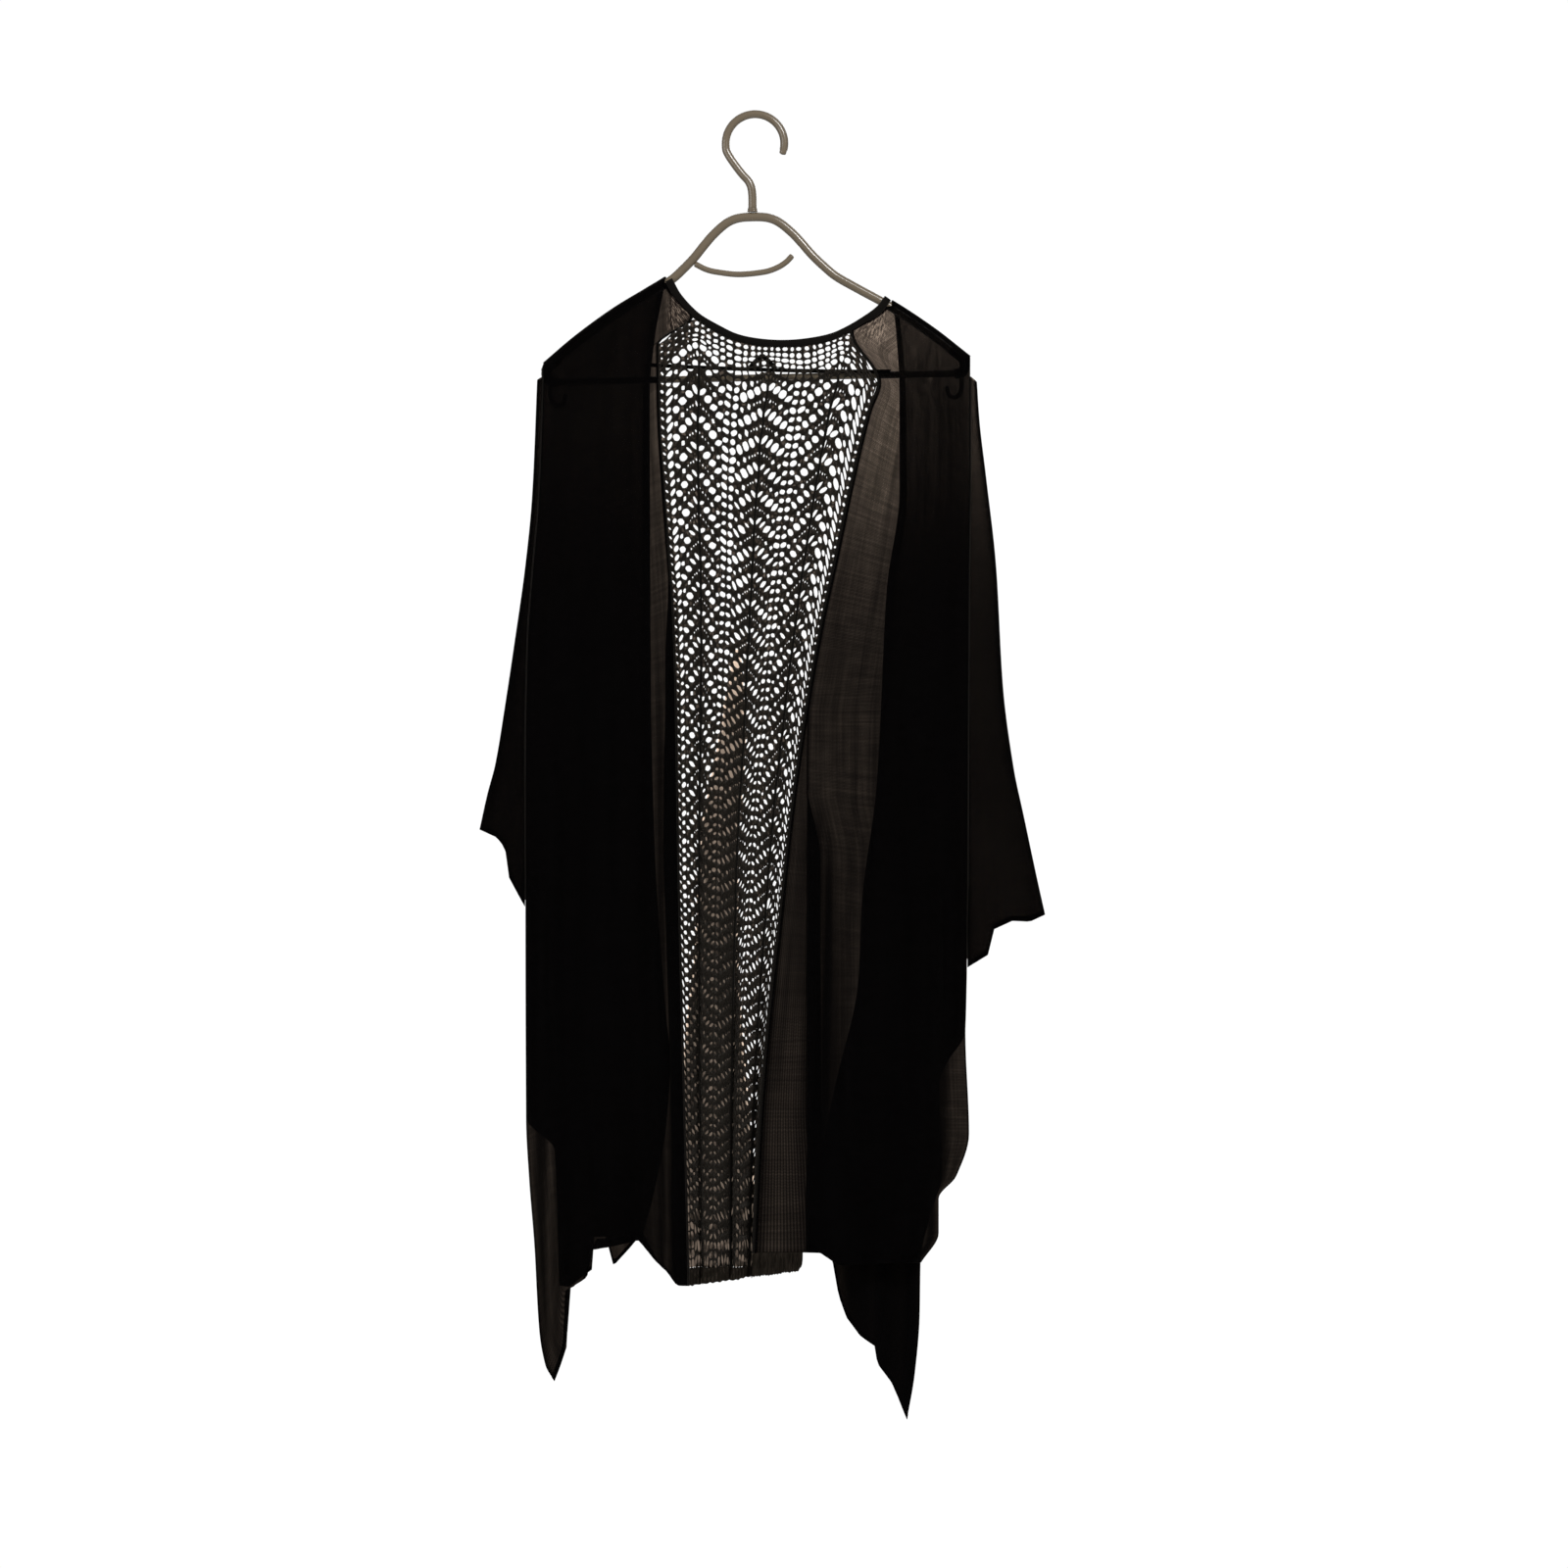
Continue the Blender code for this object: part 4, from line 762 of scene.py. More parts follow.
class LaceWeb:
    """A knitted web: each cell of the chart has an open hole, and the strands between holes are lens-shaped.

    A border is a line between columns, and a half border runs down the middle of a column. Heights in the chart are
    counted in repeats from the foot. A hole's sizes are shares of its cell's, and its rim is a ring of single
    vertices, while each corner of a cell has one vertex on the front and one on the back.
    """

    def __init__(self, strand, rise, jitter):
        self.strand, self.rise, self.jitter = strand, rise, jitter
        self.shares, self.kinds, self.spines, self.half = lace_columns()
        self.rows = round((LACE_TOP[0][1] - LACE_FOOT_Z) / CHEVRON)
        self.points, self.faces, self.uvs, self.known = [], [], [], {}

    def place(self, share, z, lift):
        """The number of a new vertex."""
        self.points.append(LACE(share, z, lift))
        self.uvs.append((share * LACE_FLAT[0], -z))
        return len(self.points) - 1

    def up_leaf(self, share):
        """How far up its leaf's slope a share of the width is, from 0 at the leaf's foot to 1 at its spine."""
        return max(0.0, 1.0 - min(abs(share - spine) for spine in self.spines) / self.half)

    def chart(self, border, up):
        """Share and height of a point of the chart, a little irregular, more so near the neckline."""
        low, high = int(border), min(int(border) + 1, len(self.shares) - 1)
        part = border - low
        share = self.shares[low] + part * (self.shares[high] - self.shares[low])
        up_here = self.up_leaf(share)
        repeat = up % 1.0
        swing = abs(repeat - 0.5) * 4.0 - 1.0
        swing *= 1.0 - smooth((up - self.rows + 1.0) / 0.4)
        away = 1.0 if share > min(self.spines, key=lambda spine: abs(share - spine)) else -1.0
        share += away * swing * LEAN * min(1.0, 4.5 * (1.0 - up_here)) * min(1.0, 2.2 * up_here)
        z = lace_level(share, up, self.rows, self.up_leaf(share) * self.rise)
        at_side = border in (0, len(self.shares) - 1)
        at_end = up <= 0.0 or up >= self.rows
        loose = self.jitter * (1.0 + 0.9 * smooth((up - self.rows + 1.4) / 0.6)) * (0.6 if part else 1.0)
        shift = noise.noise_vector(Vector((border * 1.93, up * 2.71, 0.4)))
        wave = wander(border * 0.25, up * 0.35, 3.0)
        if not at_side:
            share += shift.x * loose / 0.17
        if not at_end:
            z += shift.y * loose * (0.35 if at_side else 1.0) + wave * 0.0022
        return share, z

    def corner(self, border, up):
        """The front and back vertex of a strand crossing."""
        key = (round(border * 2), round(up * 1000))
        if key not in self.known:
            share, z = self.chart(border, up)
            rim = border in (0, len(self.shares) - 1) or up <= 0.0 or up >= self.rows
            if rim:
                one = self.place(share, z, 0.0)
                self.known[key] = (one, one, share, z)
            else:
                heavy = 1.0 + 0.35 * self.up_leaf(share) ** 3
                half = self.strand / 2 * heavy
                self.known[key] = (self.place(share, z, half), self.place(share, z, -half), share, z)
        return self.known[key]

    def levels(self, column):
        """Row boundaries of a column, from the foot to the neckline, with each row's hole."""
        rows = LACE_ROWS[self.kinds[column]]
        lines = [(repeat + row[0], row) for repeat in range(self.rows - 1) for row in rows]
        lines += [(self.rows - 1 + row[0], row) for row in NET_ROWS]
        return [line[0] for line in lines] + [float(self.rows)], [line[1] for line in lines]

    def build(self):
        """All cells, column by column. A cell shares the row lines of the columns beside it."""
        levels = [self.levels(column) for column in range(len(self.kinds))]
        for column, (lines, rows) in enumerate(levels):
            beside = [set(), set()]
            for side, other in ((0, column - 1), (1, column + 1)):
                if 0 <= other < len(levels):
                    beside[side] = set(levels[other][0])
            kind = self.kinds[column]
            double = [row[3] == 2 for row in rows]
            split = [before or after for before, after in zip([False] + double, double + [False])]
            for number, (low, high, row) in enumerate(zip(lines, lines[1:], rows)):
                extra = [sorted(up for up in beside[side] if low + 1e-6 < up < high - 1e-6) for side in (0, 1)]
                if row[3] == 2:
                    self.cell(column, column + 0.5, low, high, row, extra[0], [], (False, False), kind)
                    self.cell(column + 0.5, column + 1, low, high, row, [], extra[1], (False, False), kind)
                else:
                    self.cell(column, column + 1, low, high, row, extra[0], extra[1], split[number:number + 2], kind)

    def cell(self, left, right, low, high, row, extra_left, extra_right, split, kind):
        """One cell: its outline anticlockwise from the lower left, its hole, and the faces between them."""
        outline = [(left, low)]
        if split[0]:
            outline.append((left + 0.5, low))
        outline += [(right, low)] + [(right, up) for up in extra_right] + [(right, high)]
        if split[1]:
            outline.append((left + 0.5, high))
        outline += [(left, high)] + [(left, up) for up in reversed(extra_left)]
        corners = [self.corner(*point) for point in outline]
        ends = [self.corner(*point) for point in ((left, low), (right, low), (right, high), (left, high))]
        mid_share = sum(end[2] for end in ends) / 4
        mid_z = sum(end[3] for end in ends) / 4
        wide = Vector((ends[1][2] + ends[2][2] - ends[0][2] - ends[3][2],
                       ends[1][3] + ends[2][3] - ends[0][3] - ends[3][3])) / 4
        tall = Vector((ends[2][2] + ends[3][2] - ends[0][2] - ends[1][2],
                       ends[2][3] + ends[3][3] - ends[0][3] - ends[1][3])) / 4
        vary = 1.0 + 0.42 * wander(left * 3.1, low * 4.7, 9.0)
        patch = 1.0 + 0.22 * wander(left * 0.31, low * 0.9, 4.0)
        size = LACE_OPEN_LINE(mid_z) ** NARROWING[kind] * patch
        size *= 1.0 + (0.7 * abs(2.0 * mid_share - 1.0) - 0.3) * smooth((-0.55 - mid_z) / 0.2)
        in_net = low >= self.rows - NET_FROM
        if in_net:
            size *= 1.0 - 0.62 * smooth((0.20 - mid_share) / 0.07) - 0.45 * smooth((mid_share - 0.84) / 0.08)
        half_w = min(0.925, max(0.14, row[1] * vary * size))
        half_h = min(0.925, max(0.14, row[2] * (2.0 - vary) ** 0.5 * size))
        count = 12 if row[3] == 1 else 8
        slip = noise.noise_vector(Vector((left * 2.9, low * 3.9, 8.0)))
        slip = Vector((slip.x * (0.92 - half_w) * 0.5, slip.y * (0.90 - half_h) * 0.5 + row[4]))
        if kind == "inner" and not in_net:
            slip.x += 0.14 if self.up_leaf(ends[0][2]) > self.up_leaf(ends[1][2]) else -0.14
            half_w *= 0.92
        centre = Vector((mid_share, mid_z)) + wide * slip.x + tall * slip.y
        metres = LACE_RIGHT_LINE(mid_z) - LACE_LEFT_LINE(mid_z)
        if mid_z < LACE_WIDTH[0][0]:
            metres = max(metres, LACE_WIDTH_LINE(mid_z))
        row_line, wall = Vector((wide.x * metres, wide.y)), Vector((tall.x * metres, tall.y))
        area = row_line.x * wall.y - row_line.y * wall.x
        c, s = row_line.x / row_line.length, row_line.y / row_line.length
        to_wall = half_w * area / wall.length
        lean, square = (c * wall.x + s * wall.y) / wall.length, (c * wall.y - s * wall.x) / wall.length
        tallness = min(half_h * area / row_line.length, 0.85 * to_wall / max(abs(lean), 0.01))
        length = math.sqrt(max(to_wall ** 2 - (tallness * lean) ** 2, (0.4 * to_wall) ** 2)) / square
        turn = 0.5 * wander(left * 2.3, low * 3.3, 6.0)

        def angle_of(share, z):
            x = (share - centre.x) / wide.x
            return math.atan2((z - centre.y - wide.y * x) / tall.y, x)

        rim = []
        for front, back, share, z in corners:
            angle = angle_of(share, z)
            if rim:
                before = rim[-1][0]
                angle += 2 * math.pi * round((before - angle) / (2 * math.pi))
                angle = max(angle, before + 0.001)
            rim.append((angle, front, back))
        ring = []
        for step in range(count):
            around = 2 * math.pi * step / count
            along, over = math.cos(around) * length, math.sin(around) * tallness
            along += turn * 0.4 * over
            share, z = centre.x + (along * c - over * s) / metres, centre.y + along * s + over * c
            angle = angle_of(share, z)
            angle += 2 * math.pi * math.ceil((rim[0][0] - 0.3 - angle) / (2 * math.pi))
            ring.append((angle, self.place(share, z, 0.0)))
        ring.sort()
        self.bridge(rim, ring)

    def bridge(self, rim, ring):
        """Faces between a cell's outline and its hole, on both sides of the web."""
        rim = rim + [(rim[0][0] + 2 * math.pi, *rim[0][1:])]
        ring = ring + [(ring[0][0] + 2 * math.pi, ring[0][1])]
        i = j = 0
        while i < len(rim) - 1 or j < len(ring) - 1:
            a, c = rim[i], ring[j]
            if j == len(ring) - 1 or (i < len(rim) - 1 and rim[i + 1][0] <= ring[j + 1][0]):
                b = rim[i + 1]
                self.faces += [(a[1], b[1], c[1]), (b[2], a[2], c[1])]
                i += 1
            else:
                d = ring[j + 1]
                self.faces += [(a[1], d[1], c[1]), (d[1], a[2], c[1])]
                j += 1


def mesh_of(name, points, faces, uvs=None):
    """A smooth mesh, with a UV for each vertex."""
    mesh = bpy.data.meshes.new(name)
    mesh.from_pydata([tuple(point) for point in points], [], faces)
    if uvs is not None:
        layer = mesh.uv_layers.new(name="UVMap")
        index = np.empty(len(mesh.loops), dtype=np.int32)
        mesh.loops.foreach_get("vertex_index", index)
        layer.data.foreach_set("uv", np.asarray(uvs, dtype=np.float32)[index].ravel())
    mesh.shade_smooth()
    return mesh


def lengths_along(grid, axis):
    """Lengths of a grid's lines: axis 0 is down the cloth, axis 1 is across it."""
    return np.linalg.norm(np.diff(grid, axis=axis), axis=2).sum(axis=axis)


def surface_area(grid):
    """Area of a grid of points."""
    a, b, c, d = grid[:-1, :-1], grid[1:, :-1], grid[1:, 1:], grid[:-1, 1:]
    halves = (np.linalg.norm(np.cross(one - a, two - a), axis=2).sum() / 2 for one, two in ((b, c), (c, d)))
    return float(sum(halves))


def grid_faces(rows, columns, closed=False, kept=None):
    """Faces over rows x columns of points, joined round where it is closed."""
    faces = []
    for row in range(rows - 1):
        for column in range(columns - (0 if closed else 1)):
            after = (column + 1) % columns
            corners = (
                row * columns + column, (row + 1) * columns + column,
                (row + 1) * columns + after, row * columns + after,
            )
            if kept is None or kept(corners):
                faces.append(corners)
    return faces


def grid_mesh(name, grid, closed=False, kept=None):
    """A mesh over rows x columns of points, with UVs in metres of flat cloth."""
    rows, columns = grid.shape[:2]
    down = np.concatenate(([0.0], np.cumsum(np.linalg.norm(np.diff(grid, axis=0), axis=2).mean(axis=1))))
    across = np.linspace(0.0, lengths_along(grid, 1).max(), columns)
    uvs = np.stack(np.meshgrid(across, down), axis=-1).reshape(-1, 2)
    return mesh_of(name, grid.reshape(-1, 3), grid_faces(rows, columns, closed, kept), uvs)


def add_gathers(mesh, rows):
    """A float attribute, gather, that says how much denser the cloth hangs at each vertex, which also stands as painted
    shade of its folds.
    """
    lines = [tuple(Line(row, column) for column in (1, 2, 3)) for row in rows]
    values = []
    for vertex in mesh.vertices:
        x, _, z = vertex.co
        values.append(sum(
            amount(z) * math.exp(-(((x - middle(z)) / half(z)) ** 2)) for middle, half, amount in lines
        ))
    mesh.attributes.new("gather", "FLOAT", "POINT").data.foreach_set("value", values)


def normals_of(grid):
    """Unit normals of a grid of points, towards -Y."""
    along, across = np.gradient(grid, axis=0), np.gradient(grid, axis=1)
    normal = np.cross(across, along)
    normal /= np.linalg.norm(normal, axis=2)[..., None] + 1e-12
    turned = np.where(normal[..., 1:2].mean() > 0, -1.0, 1.0)
    return normal * turned


def piece(name, data, surface, replaced=()):
    """An object of the model, on its body, with its finish."""
    made = bpy.data.objects.new(name, data)
    bpy.context.scene.collection.objects.link(made)
    data.materials.append(surface)
    if replaced:
        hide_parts(*replaced)
    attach(made, BODY)
    return made


def thicken(made, thickness):
    """A thin shell from an open sheet."""
    wall = made.modifiers.new("cloth thickness", "SOLIDIFY")
    wall.thickness = thickness
    wall.offset = 0.0
    return made


def band_from(grid, side, width, lift, columns=4):
    """A strip of cloth along one edge of a grid, lifted off it: side is hem or inner."""
    lifted = grid + normals_of(grid) * lift
    strip = []
    for line in lifted[::-1].transpose(1, 0, 2) if side == "hem" else lifted[:, ::-1]:
        lengths = np.concatenate(([0.0], np.cumsum(np.linalg.norm(np.diff(line, axis=0), axis=1))))
        at = np.linspace(0.0, min(width, lengths[-1]), columns + 1)
        strip.append(np.stack([np.interp(at, lengths, line[:, axis]) for axis in range(3)], axis=-1))
    return np.array(strip)


def turns(sides):
    """Angles round a circle."""
    return [2 * math.pi * step / sides for step in range(sides)]


def swept(name, path, half_wide, half_thick, sides):
    """A closed bar with an oval section along a path: half_wide in the XZ plane, half_thick along Y."""
    path = np.array([tuple(point) for point in path])
    tangent = np.gradient(path, axis=0)
    tangent /= np.linalg.norm(tangent, axis=1)[:, None]
    across = np.cross(tangent, np.array((0.0, 1.0, 0.0)))
    across /= np.linalg.norm(across, axis=1)[:, None]
    out = np.cross(tangent, across)
    grid = np.array([
        [point + wide * (half_wide * math.cos(turn)) + thick * (half_thick * math.sin(turn)) for turn in turns(sides)]
        for point, wide, thick in zip(path, across, out)
    ])
    count = len(grid) * sides
    caps = [tuple(range(sides)), tuple(reversed(range(count - sides, count)))]
    uvs = [(step / sides * 0.01, row * 0.002) for row in range(len(grid)) for step in range(sides)]
    return mesh_of(name, grid.reshape(-1, 3), grid_faces(len(grid), sides, closed=True) + caps, uvs)


def tube(name, path, radius, sides=24, round_ends=True, taper=(1.0, 1.0)):
    """A round bar along a path with domed ends. taper scales its radius from its start to its end."""
    path = [Vector(point) for point in path]
    radii = [taper[0] + (taper[1] - taper[0]) * step / (len(path) - 1) for step in range(len(path))]
    if round_ends:
        start = (path[0] - path[1]).normalized() * radius * DOME
        end = (path[-1] - path[-2]).normalized() * radius * DOME
        caps = ((0.45, 0.90), (0.80, 0.62), (0.98, 0.22))  # share of the dome's height, share of its radius
        path = (
            [path[0] + start * share for share, _ in reversed(caps)] + path
            + [path[-1] + end * share for share, _ in caps]
        )
        radii = (
            [size * radii[0] for _, size in reversed(caps)] + radii + [size * radii[-1] for _, size in caps]
        )
    curve = bpy.data.curves.new(name, "CURVE")
    curve.dimensions = "3D"
    curve.bevel_depth = radius
    curve.bevel_resolution = sides // 4 - 1
    curve.use_fill_caps = True
    spline = curve.splines.new("POLY")
    spline.points.add(len(path) - 1)
    for target, point, size in zip(spline.points, path, radii):
        target.co = (*point, 1.0)
        target.radius = size
    spline.use_smooth = True
    return curve


class Value:
    """What a node puts out, so that a shader's sums can be written as sums."""

    def __init__(self, node, output=0):
        self.tree, self.socket = node.id_data, node.outputs[output]

    def run(self, operation, *others):
        return math_node(self.tree, operation, self, *others)

    def __add__(self, other):
        return self.run("ADD", other)

    def __sub__(self, other):
        return self.run("SUBTRACT", other)

    def __mul__(self, other):
        return self.run("MULTIPLY", other)

    def __truediv__(self, other):
        return self.run("DIVIDE", other)

    def __pow__(self, other):
        return self.run("POWER", other)

    def __abs__(self):
        return self.run("ABSOLUTE")

    def __rsub__(self, other):
        return math_node(self.tree, "SUBTRACT", other, self)

    def __rpow__(self, other):
        return math_node(self.tree, "POWER", other, self)


def fill(node, inputs):
    """A node with its inputs set: numbers and colours as constants, values as links."""
    for title, value in inputs.items():
        if isinstance(value, Value):
            value.tree.links.new(value.socket, node.inputs[title])
        else:
            node.inputs[title].default_value = value
    return node


def new_node(tree, kind, inputs=None, **options):
    """A shader node of a kind, with its options and inputs."""
    node = tree.nodes.new(f"ShaderNode{kind}")
    for option, value in options.items():
        setattr(node, option, value)
    return fill(node, inputs or {})


def math_node(tree, operation, *values):
    """A math node over values and numbers."""
    return Value(new_node(tree, "Math", dict(enumerate(values)), operation=operation))


def axes(vector):
    """X, Y and Z of a vector."""
    split = new_node(vector.tree, "SeparateXYZ", {0: vector})
    return [Value(split, axis) for axis in "XYZ"]


def clouds(place, scale, detail=2.0, dimensions="3D", rough=0.5):
    """Soft noise over a place."""
    return Value(new_node(place.tree, "TexNoise", {
        "Vector": place, "Scale": scale, "Detail": detail, "Roughness": rough}, noise_dimensions=dimensions), "Fac")


def scaled(place, x, y):
    """A place in UV space, scaled apart along both its axes."""
    return Value(new_node(place.tree, "Mapping", {"Vector": place, "Scale": (x, y, 1.0)}))


def ramp(value, low, high, at_low, at_high):
    """A soft step of a value between two places."""
    return Value(new_node(value.tree, "MapRange", {
        "Value": value, "From Min": low, "From Max": high, "To Min": at_low, "To Max": at_high,
    }, interpolation_type="SMOOTHSTEP"), "Result")


def colour_over(factor, dark, light):
    """Base colour between two colours over a varying factor."""
    blend = new_node(factor.tree, "Mix", data_type="RGBA", clamp_factor=True)
    return Value(fill(blend, {"Factor": factor, "A": (*dark, 1.0), "B": (*light, 1.0)}), "Result")


def relief(height, strength, distance):
    """Normals of a fine relief."""
    return Value(new_node(height.tree, "Bump", {"Strength": strength, "Distance": distance, "Height": height}))


def uv_place(tree):
    """The place in UV space, in metres of flat cloth."""
    return Value(new_node(tree, "UVMap"), "UV")


def attribute(tree, name):
    """A float that the mesh carries."""
    return Value(new_node(tree, "Attribute", attribute_name=name), "Fac")


def shades(colour, share):
    """A colour made darker or lighter by a share."""
    return [channel * share for channel in colour]


def group_of(name, inputs, outputs):
    """A shader node group with float inputs and outputs, and no nodes between them yet."""
    group = bpy.data.node_groups.new(name, "ShaderNodeTree")
    for title, value, low, high in inputs:
        socket = group.interface.new_socket(name=title, in_out="INPUT", socket_type="NodeSocketFloat")
        socket.default_value = value
        socket.min_value, socket.max_value = low, high
    for title in outputs:
        group.interface.new_socket(name=title, in_out="OUTPUT", socket_type="NodeSocketFloat")
    return group, group.nodes.new("NodeGroupInput"), group.nodes.new("NodeGroupOutput")


def fine_knit_group():
    """Wales, stitch rows and soft streaks of a fine knit, over UVs in metres: a density, a height and a tone."""
    name = "fine knit"
    if name in bpy.data.node_groups:
        return bpy.data.node_groups[name]
    group, given, put = group_of(
        name,
        (("Wale Pitch", 0.0016, 0.0002, 0.02), ("Row Pitch", 0.0013, 0.0002, 0.02),
         ("Streaks", 0.5, 0.0, 2.0), ("Mottle", 0.5, 0.0, 2.0)),
        ("Density", "Height", "Tone"),
    )
    place = uv_place(group)
    across, down, _ = axes(place)
    wale = across / Value(given, "Wale Pitch") * (2 * math.pi)
    row = down / Value(given, "Row Pitch") * (2 * math.pi)
    loops = (row + wale.run("SINE") * 1.1).run("SINE")
    stitch = (wale * 2.0).run("COSINE") * 0.5 + loops * 0.5

    def texture(x, y, detail):
        return clouds(scaled(place, x, y), 1.0, detail) - 0.5

    streaks = texture(420.0, 9.0, 2.0) + texture(12.0, 380.0, 2.0) + texture(95.0, 2.5, 1.0)
    soft = streaks * Value(given, "Streaks") + texture(60.0, 60.0, 3.0) * Value(given, "Mottle")
    fill(put, {"Density": stitch * 0.5 + soft, "Height": stitch, "Tone": soft})
    return group


def principled(name):
    """A new material, its node tree and its shader."""
    material = bpy.data.materials.new(name)
    material.use_nodes = True
    return material, material.node_tree, material.node_tree.nodes["Principled BSDF"]


def neck_fan(x, z):
    """Fine light streaks that fan out from both shoulder ends of the neckline, where the knit is stretched."""
    inward = abs(x - FAN_MIDDLE_X) - FAN_HALF
    up = z - FAN_Z
    away = (inward ** 2.0 + up ** 2.0).run("SQRT")
    turn = new_node(x.tree, "CombineXYZ", {0: up.run("ARCTAN2", inward) * 26.0, 1: away * 160.0})
    light = ramp(clouds(Value(turn), 1.0, 3.0, "2D", 0.7), 0.42, 0.68, -0.12, 0.55)
    near = ramp(away, 0.030, 0.062, 1.0, 0.0)
    inside = ramp(inward, -0.006, 0.004, 1.0, 0.0)
    return light * (near * inside)


def sheer_knit(name, colour, layer_pass, streaks, mottle):
    """Sheer knit: less light passes a face where the cloth leans away, where it is dense, and lower down; more passes
    at the upper right and by the right of the neckline, as painted light.
    """
    material, tree, shader = principled(name)
    knit = fill(new_node(tree, "Group", node_tree=fine_knit_group()), {"Streaks": streaks, "Mottle": mottle})
    place = new_node(tree, "TexCoord")
    facing = abs(axes(Value(place, "Normal"))[1]).run("MAXIMUM", 0.18)
    x, _, z = axes(Value(place, "Object"))
    # Higher up the knit lets more light through. Its growth towards the right (right) and the lift by the right of the
    # neckline (neck) are painted light, where a lamp lights the right shoulder.
    high = ramp(z, -0.52, -0.27, 0.0, 1.0)
    right = ramp(x, -0.04, 0.12, 0.22, 0.36)
    neck = ramp(z, -0.29, -0.20, 0.0, 0.12) * ramp(x, 0.0, 0.12, 0.0, 1.0)
    # The gathers darken the cloth, partly for their denser cloth and partly as painted shade of their folds.
    thick = Value(knit, "Density") * 0.60 + 1.0 - (high * right + neck) + attribute(tree, "gather") - neck_fan(x, z)
    depth = -math.log(layer_pass) / 2
    optical = thick.run("MAXIMUM", 0.25) * depth / facing ** 1.3
    alpha = 1.0 - math.e ** (optical * -1.0)
    fill(shader, {
        "Alpha": alpha.run("MAXIMUM", 0.45).run("MINIMUM", 0.995),
        "Base Color": colour_over(Value(knit, "Tone") * 1.2 + 0.5, shades(colour, 0.6), shades(colour, 1.6)),
        "Normal": relief(Value(knit, "Height"), 0.35, 0.0003),
        "Roughness": 0.9, "Specular IOR Level": 0.0,
        "Sheen Weight": 0.02, "Sheen Roughness": 0.4, "Sheen Tint": (0.9, 0.8, 0.7, 1.0),
    })
    return material


def backing_net(name, colour):
    """Sheer folds seen through the lace's holes, with a different share of light behind each."""
    material, tree, shader = principled(name)
    share = ramp(clouds(uv_place(tree), 95.0, dimensions="2D"), 0.34, 0.62, 0.97, 0.84)
    fill(shader, {
        "Alpha": attribute(tree, "held back") * share, "Base Color": (*colour, 1.0),
        "Roughness": 0.9, "Specular IOR Level": 0.0,
    })
    return material


def net_alpha(tree):
    """Alpha of the lace's close stitches: thin dark strands round small cells that let a little light through."""
    place = scaled(uv_place(tree), 290.0, 215.0)
    edges, cells = (
        new_node(tree, "TexVoronoi", {"Vector": place, "Scale": 1.0}, voronoi_dimensions="2D", feature=feature)
        for feature in ("DISTANCE_TO_EDGE", "F1")
    )
    inside = ramp(Value(edges, "Distance"), 0.09, 0.24, 0.0, 1.0)
    open_share = axes(Value(cells, "Color"))[0] ** 2.5 * 0.26 + 0.04
    return 1.0 - inside * open_share


def yarn(name, colour, wale, row, net=False):
    """Black yarn, knitted close: ribs and rows in its relief and a little wear in its tone."""
    material, tree, shader = principled(name)
    knit = fill(new_node(tree, "Group", node_tree=fine_knit_group()), {
        "Wale Pitch": wale, "Row Pitch": row, "Streaks": 0.7, "Mottle": 0.9})
    if net:
        fill(shader, {"Alpha": net_alpha(tree)})
    fill(shader, {
        "Base Color": colour_over(Value(knit, "Density") * 0.5 + 0.5, shades(colour, 0.5), shades(colour, 1.6)),
        "Normal": relief(Value(knit, "Height"), 0.6, 0.0004),
        "Roughness": 0.85, "Specular IOR Level": 0.08,
        "Sheen Weight": 0.08, "Sheen Roughness": 0.4, "Sheen Tint": (0.9, 0.82, 0.74, 1.0),
    })
    return material


def gathered_rib(name, colour):
    """Ribs of the gathered band, dark along each rib and sheer between them."""
    material, tree, shader = principled(name)
    place = uv_place(tree)
    patch = clouds(place, 130.0, dimensions="2D")
    turn = axes(place)[0] * (2 * math.pi / RIB_PITCH) + patch * 5.0
    rib = ramp(turn.run("SINE"), -0.5, 0.7, 0.0, 1.0)
    fill(shader, {
        "Alpha": 0.99 - rib * ramp(patch, 0.35, 0.65, 0.05, 0.13),
        "Base Color": colour_over(rib, colour, shades(colour, 0.4)),
        "Roughness": 0.9, "Specular IOR Level": 0.02,
    })
    return material


def moulded_plastic(name, colour):
    """Satin moulded plastic, with painted shade that darkens it towards its edges: faint flow marks, and scuffs in its
    gloss and relief.
    """
    material, tree, shader = principled(name)
    place = Value(new_node(tree, "TexCoord"), "Object")
    flow, scuffs = clouds(place, 34.0), clouds(place, 420.0, 3.0)
    # Painted shade: the base colour darkens where the surface turns away from the view, as a lit tube shades off at its
    # edges.
    edge = Value(new_node(tree, "LayerWeight", {"Blend": 0.5}), "Facing")
    tone = ramp(edge, 0.45, 0.85, 1.0, 0.30) * (flow * 0.3 + 0.85)
    fill(shader, {
        "Base Color": colour_over(tone, (0.0, 0.0, 0.0), colour), "Roughness": scuffs * 0.16 + 0.16,
        "Normal": relief(scuffs, 0.03, 0.0002), "Coat Weight": 0.25, "Coat Roughness": 0.08,
    })
    return material


def material_for(name, maker, *values):
    """A finish that is made once and shared."""
    return bpy.data.materials.get(name) or maker(name, *values)


COLOUR = {"subtype": "COLOR", "size": 3, "min": 0.0, "max": 1.0}
LENGTH = {"subtype": "DISTANCE", "unit": "LENGTH"}


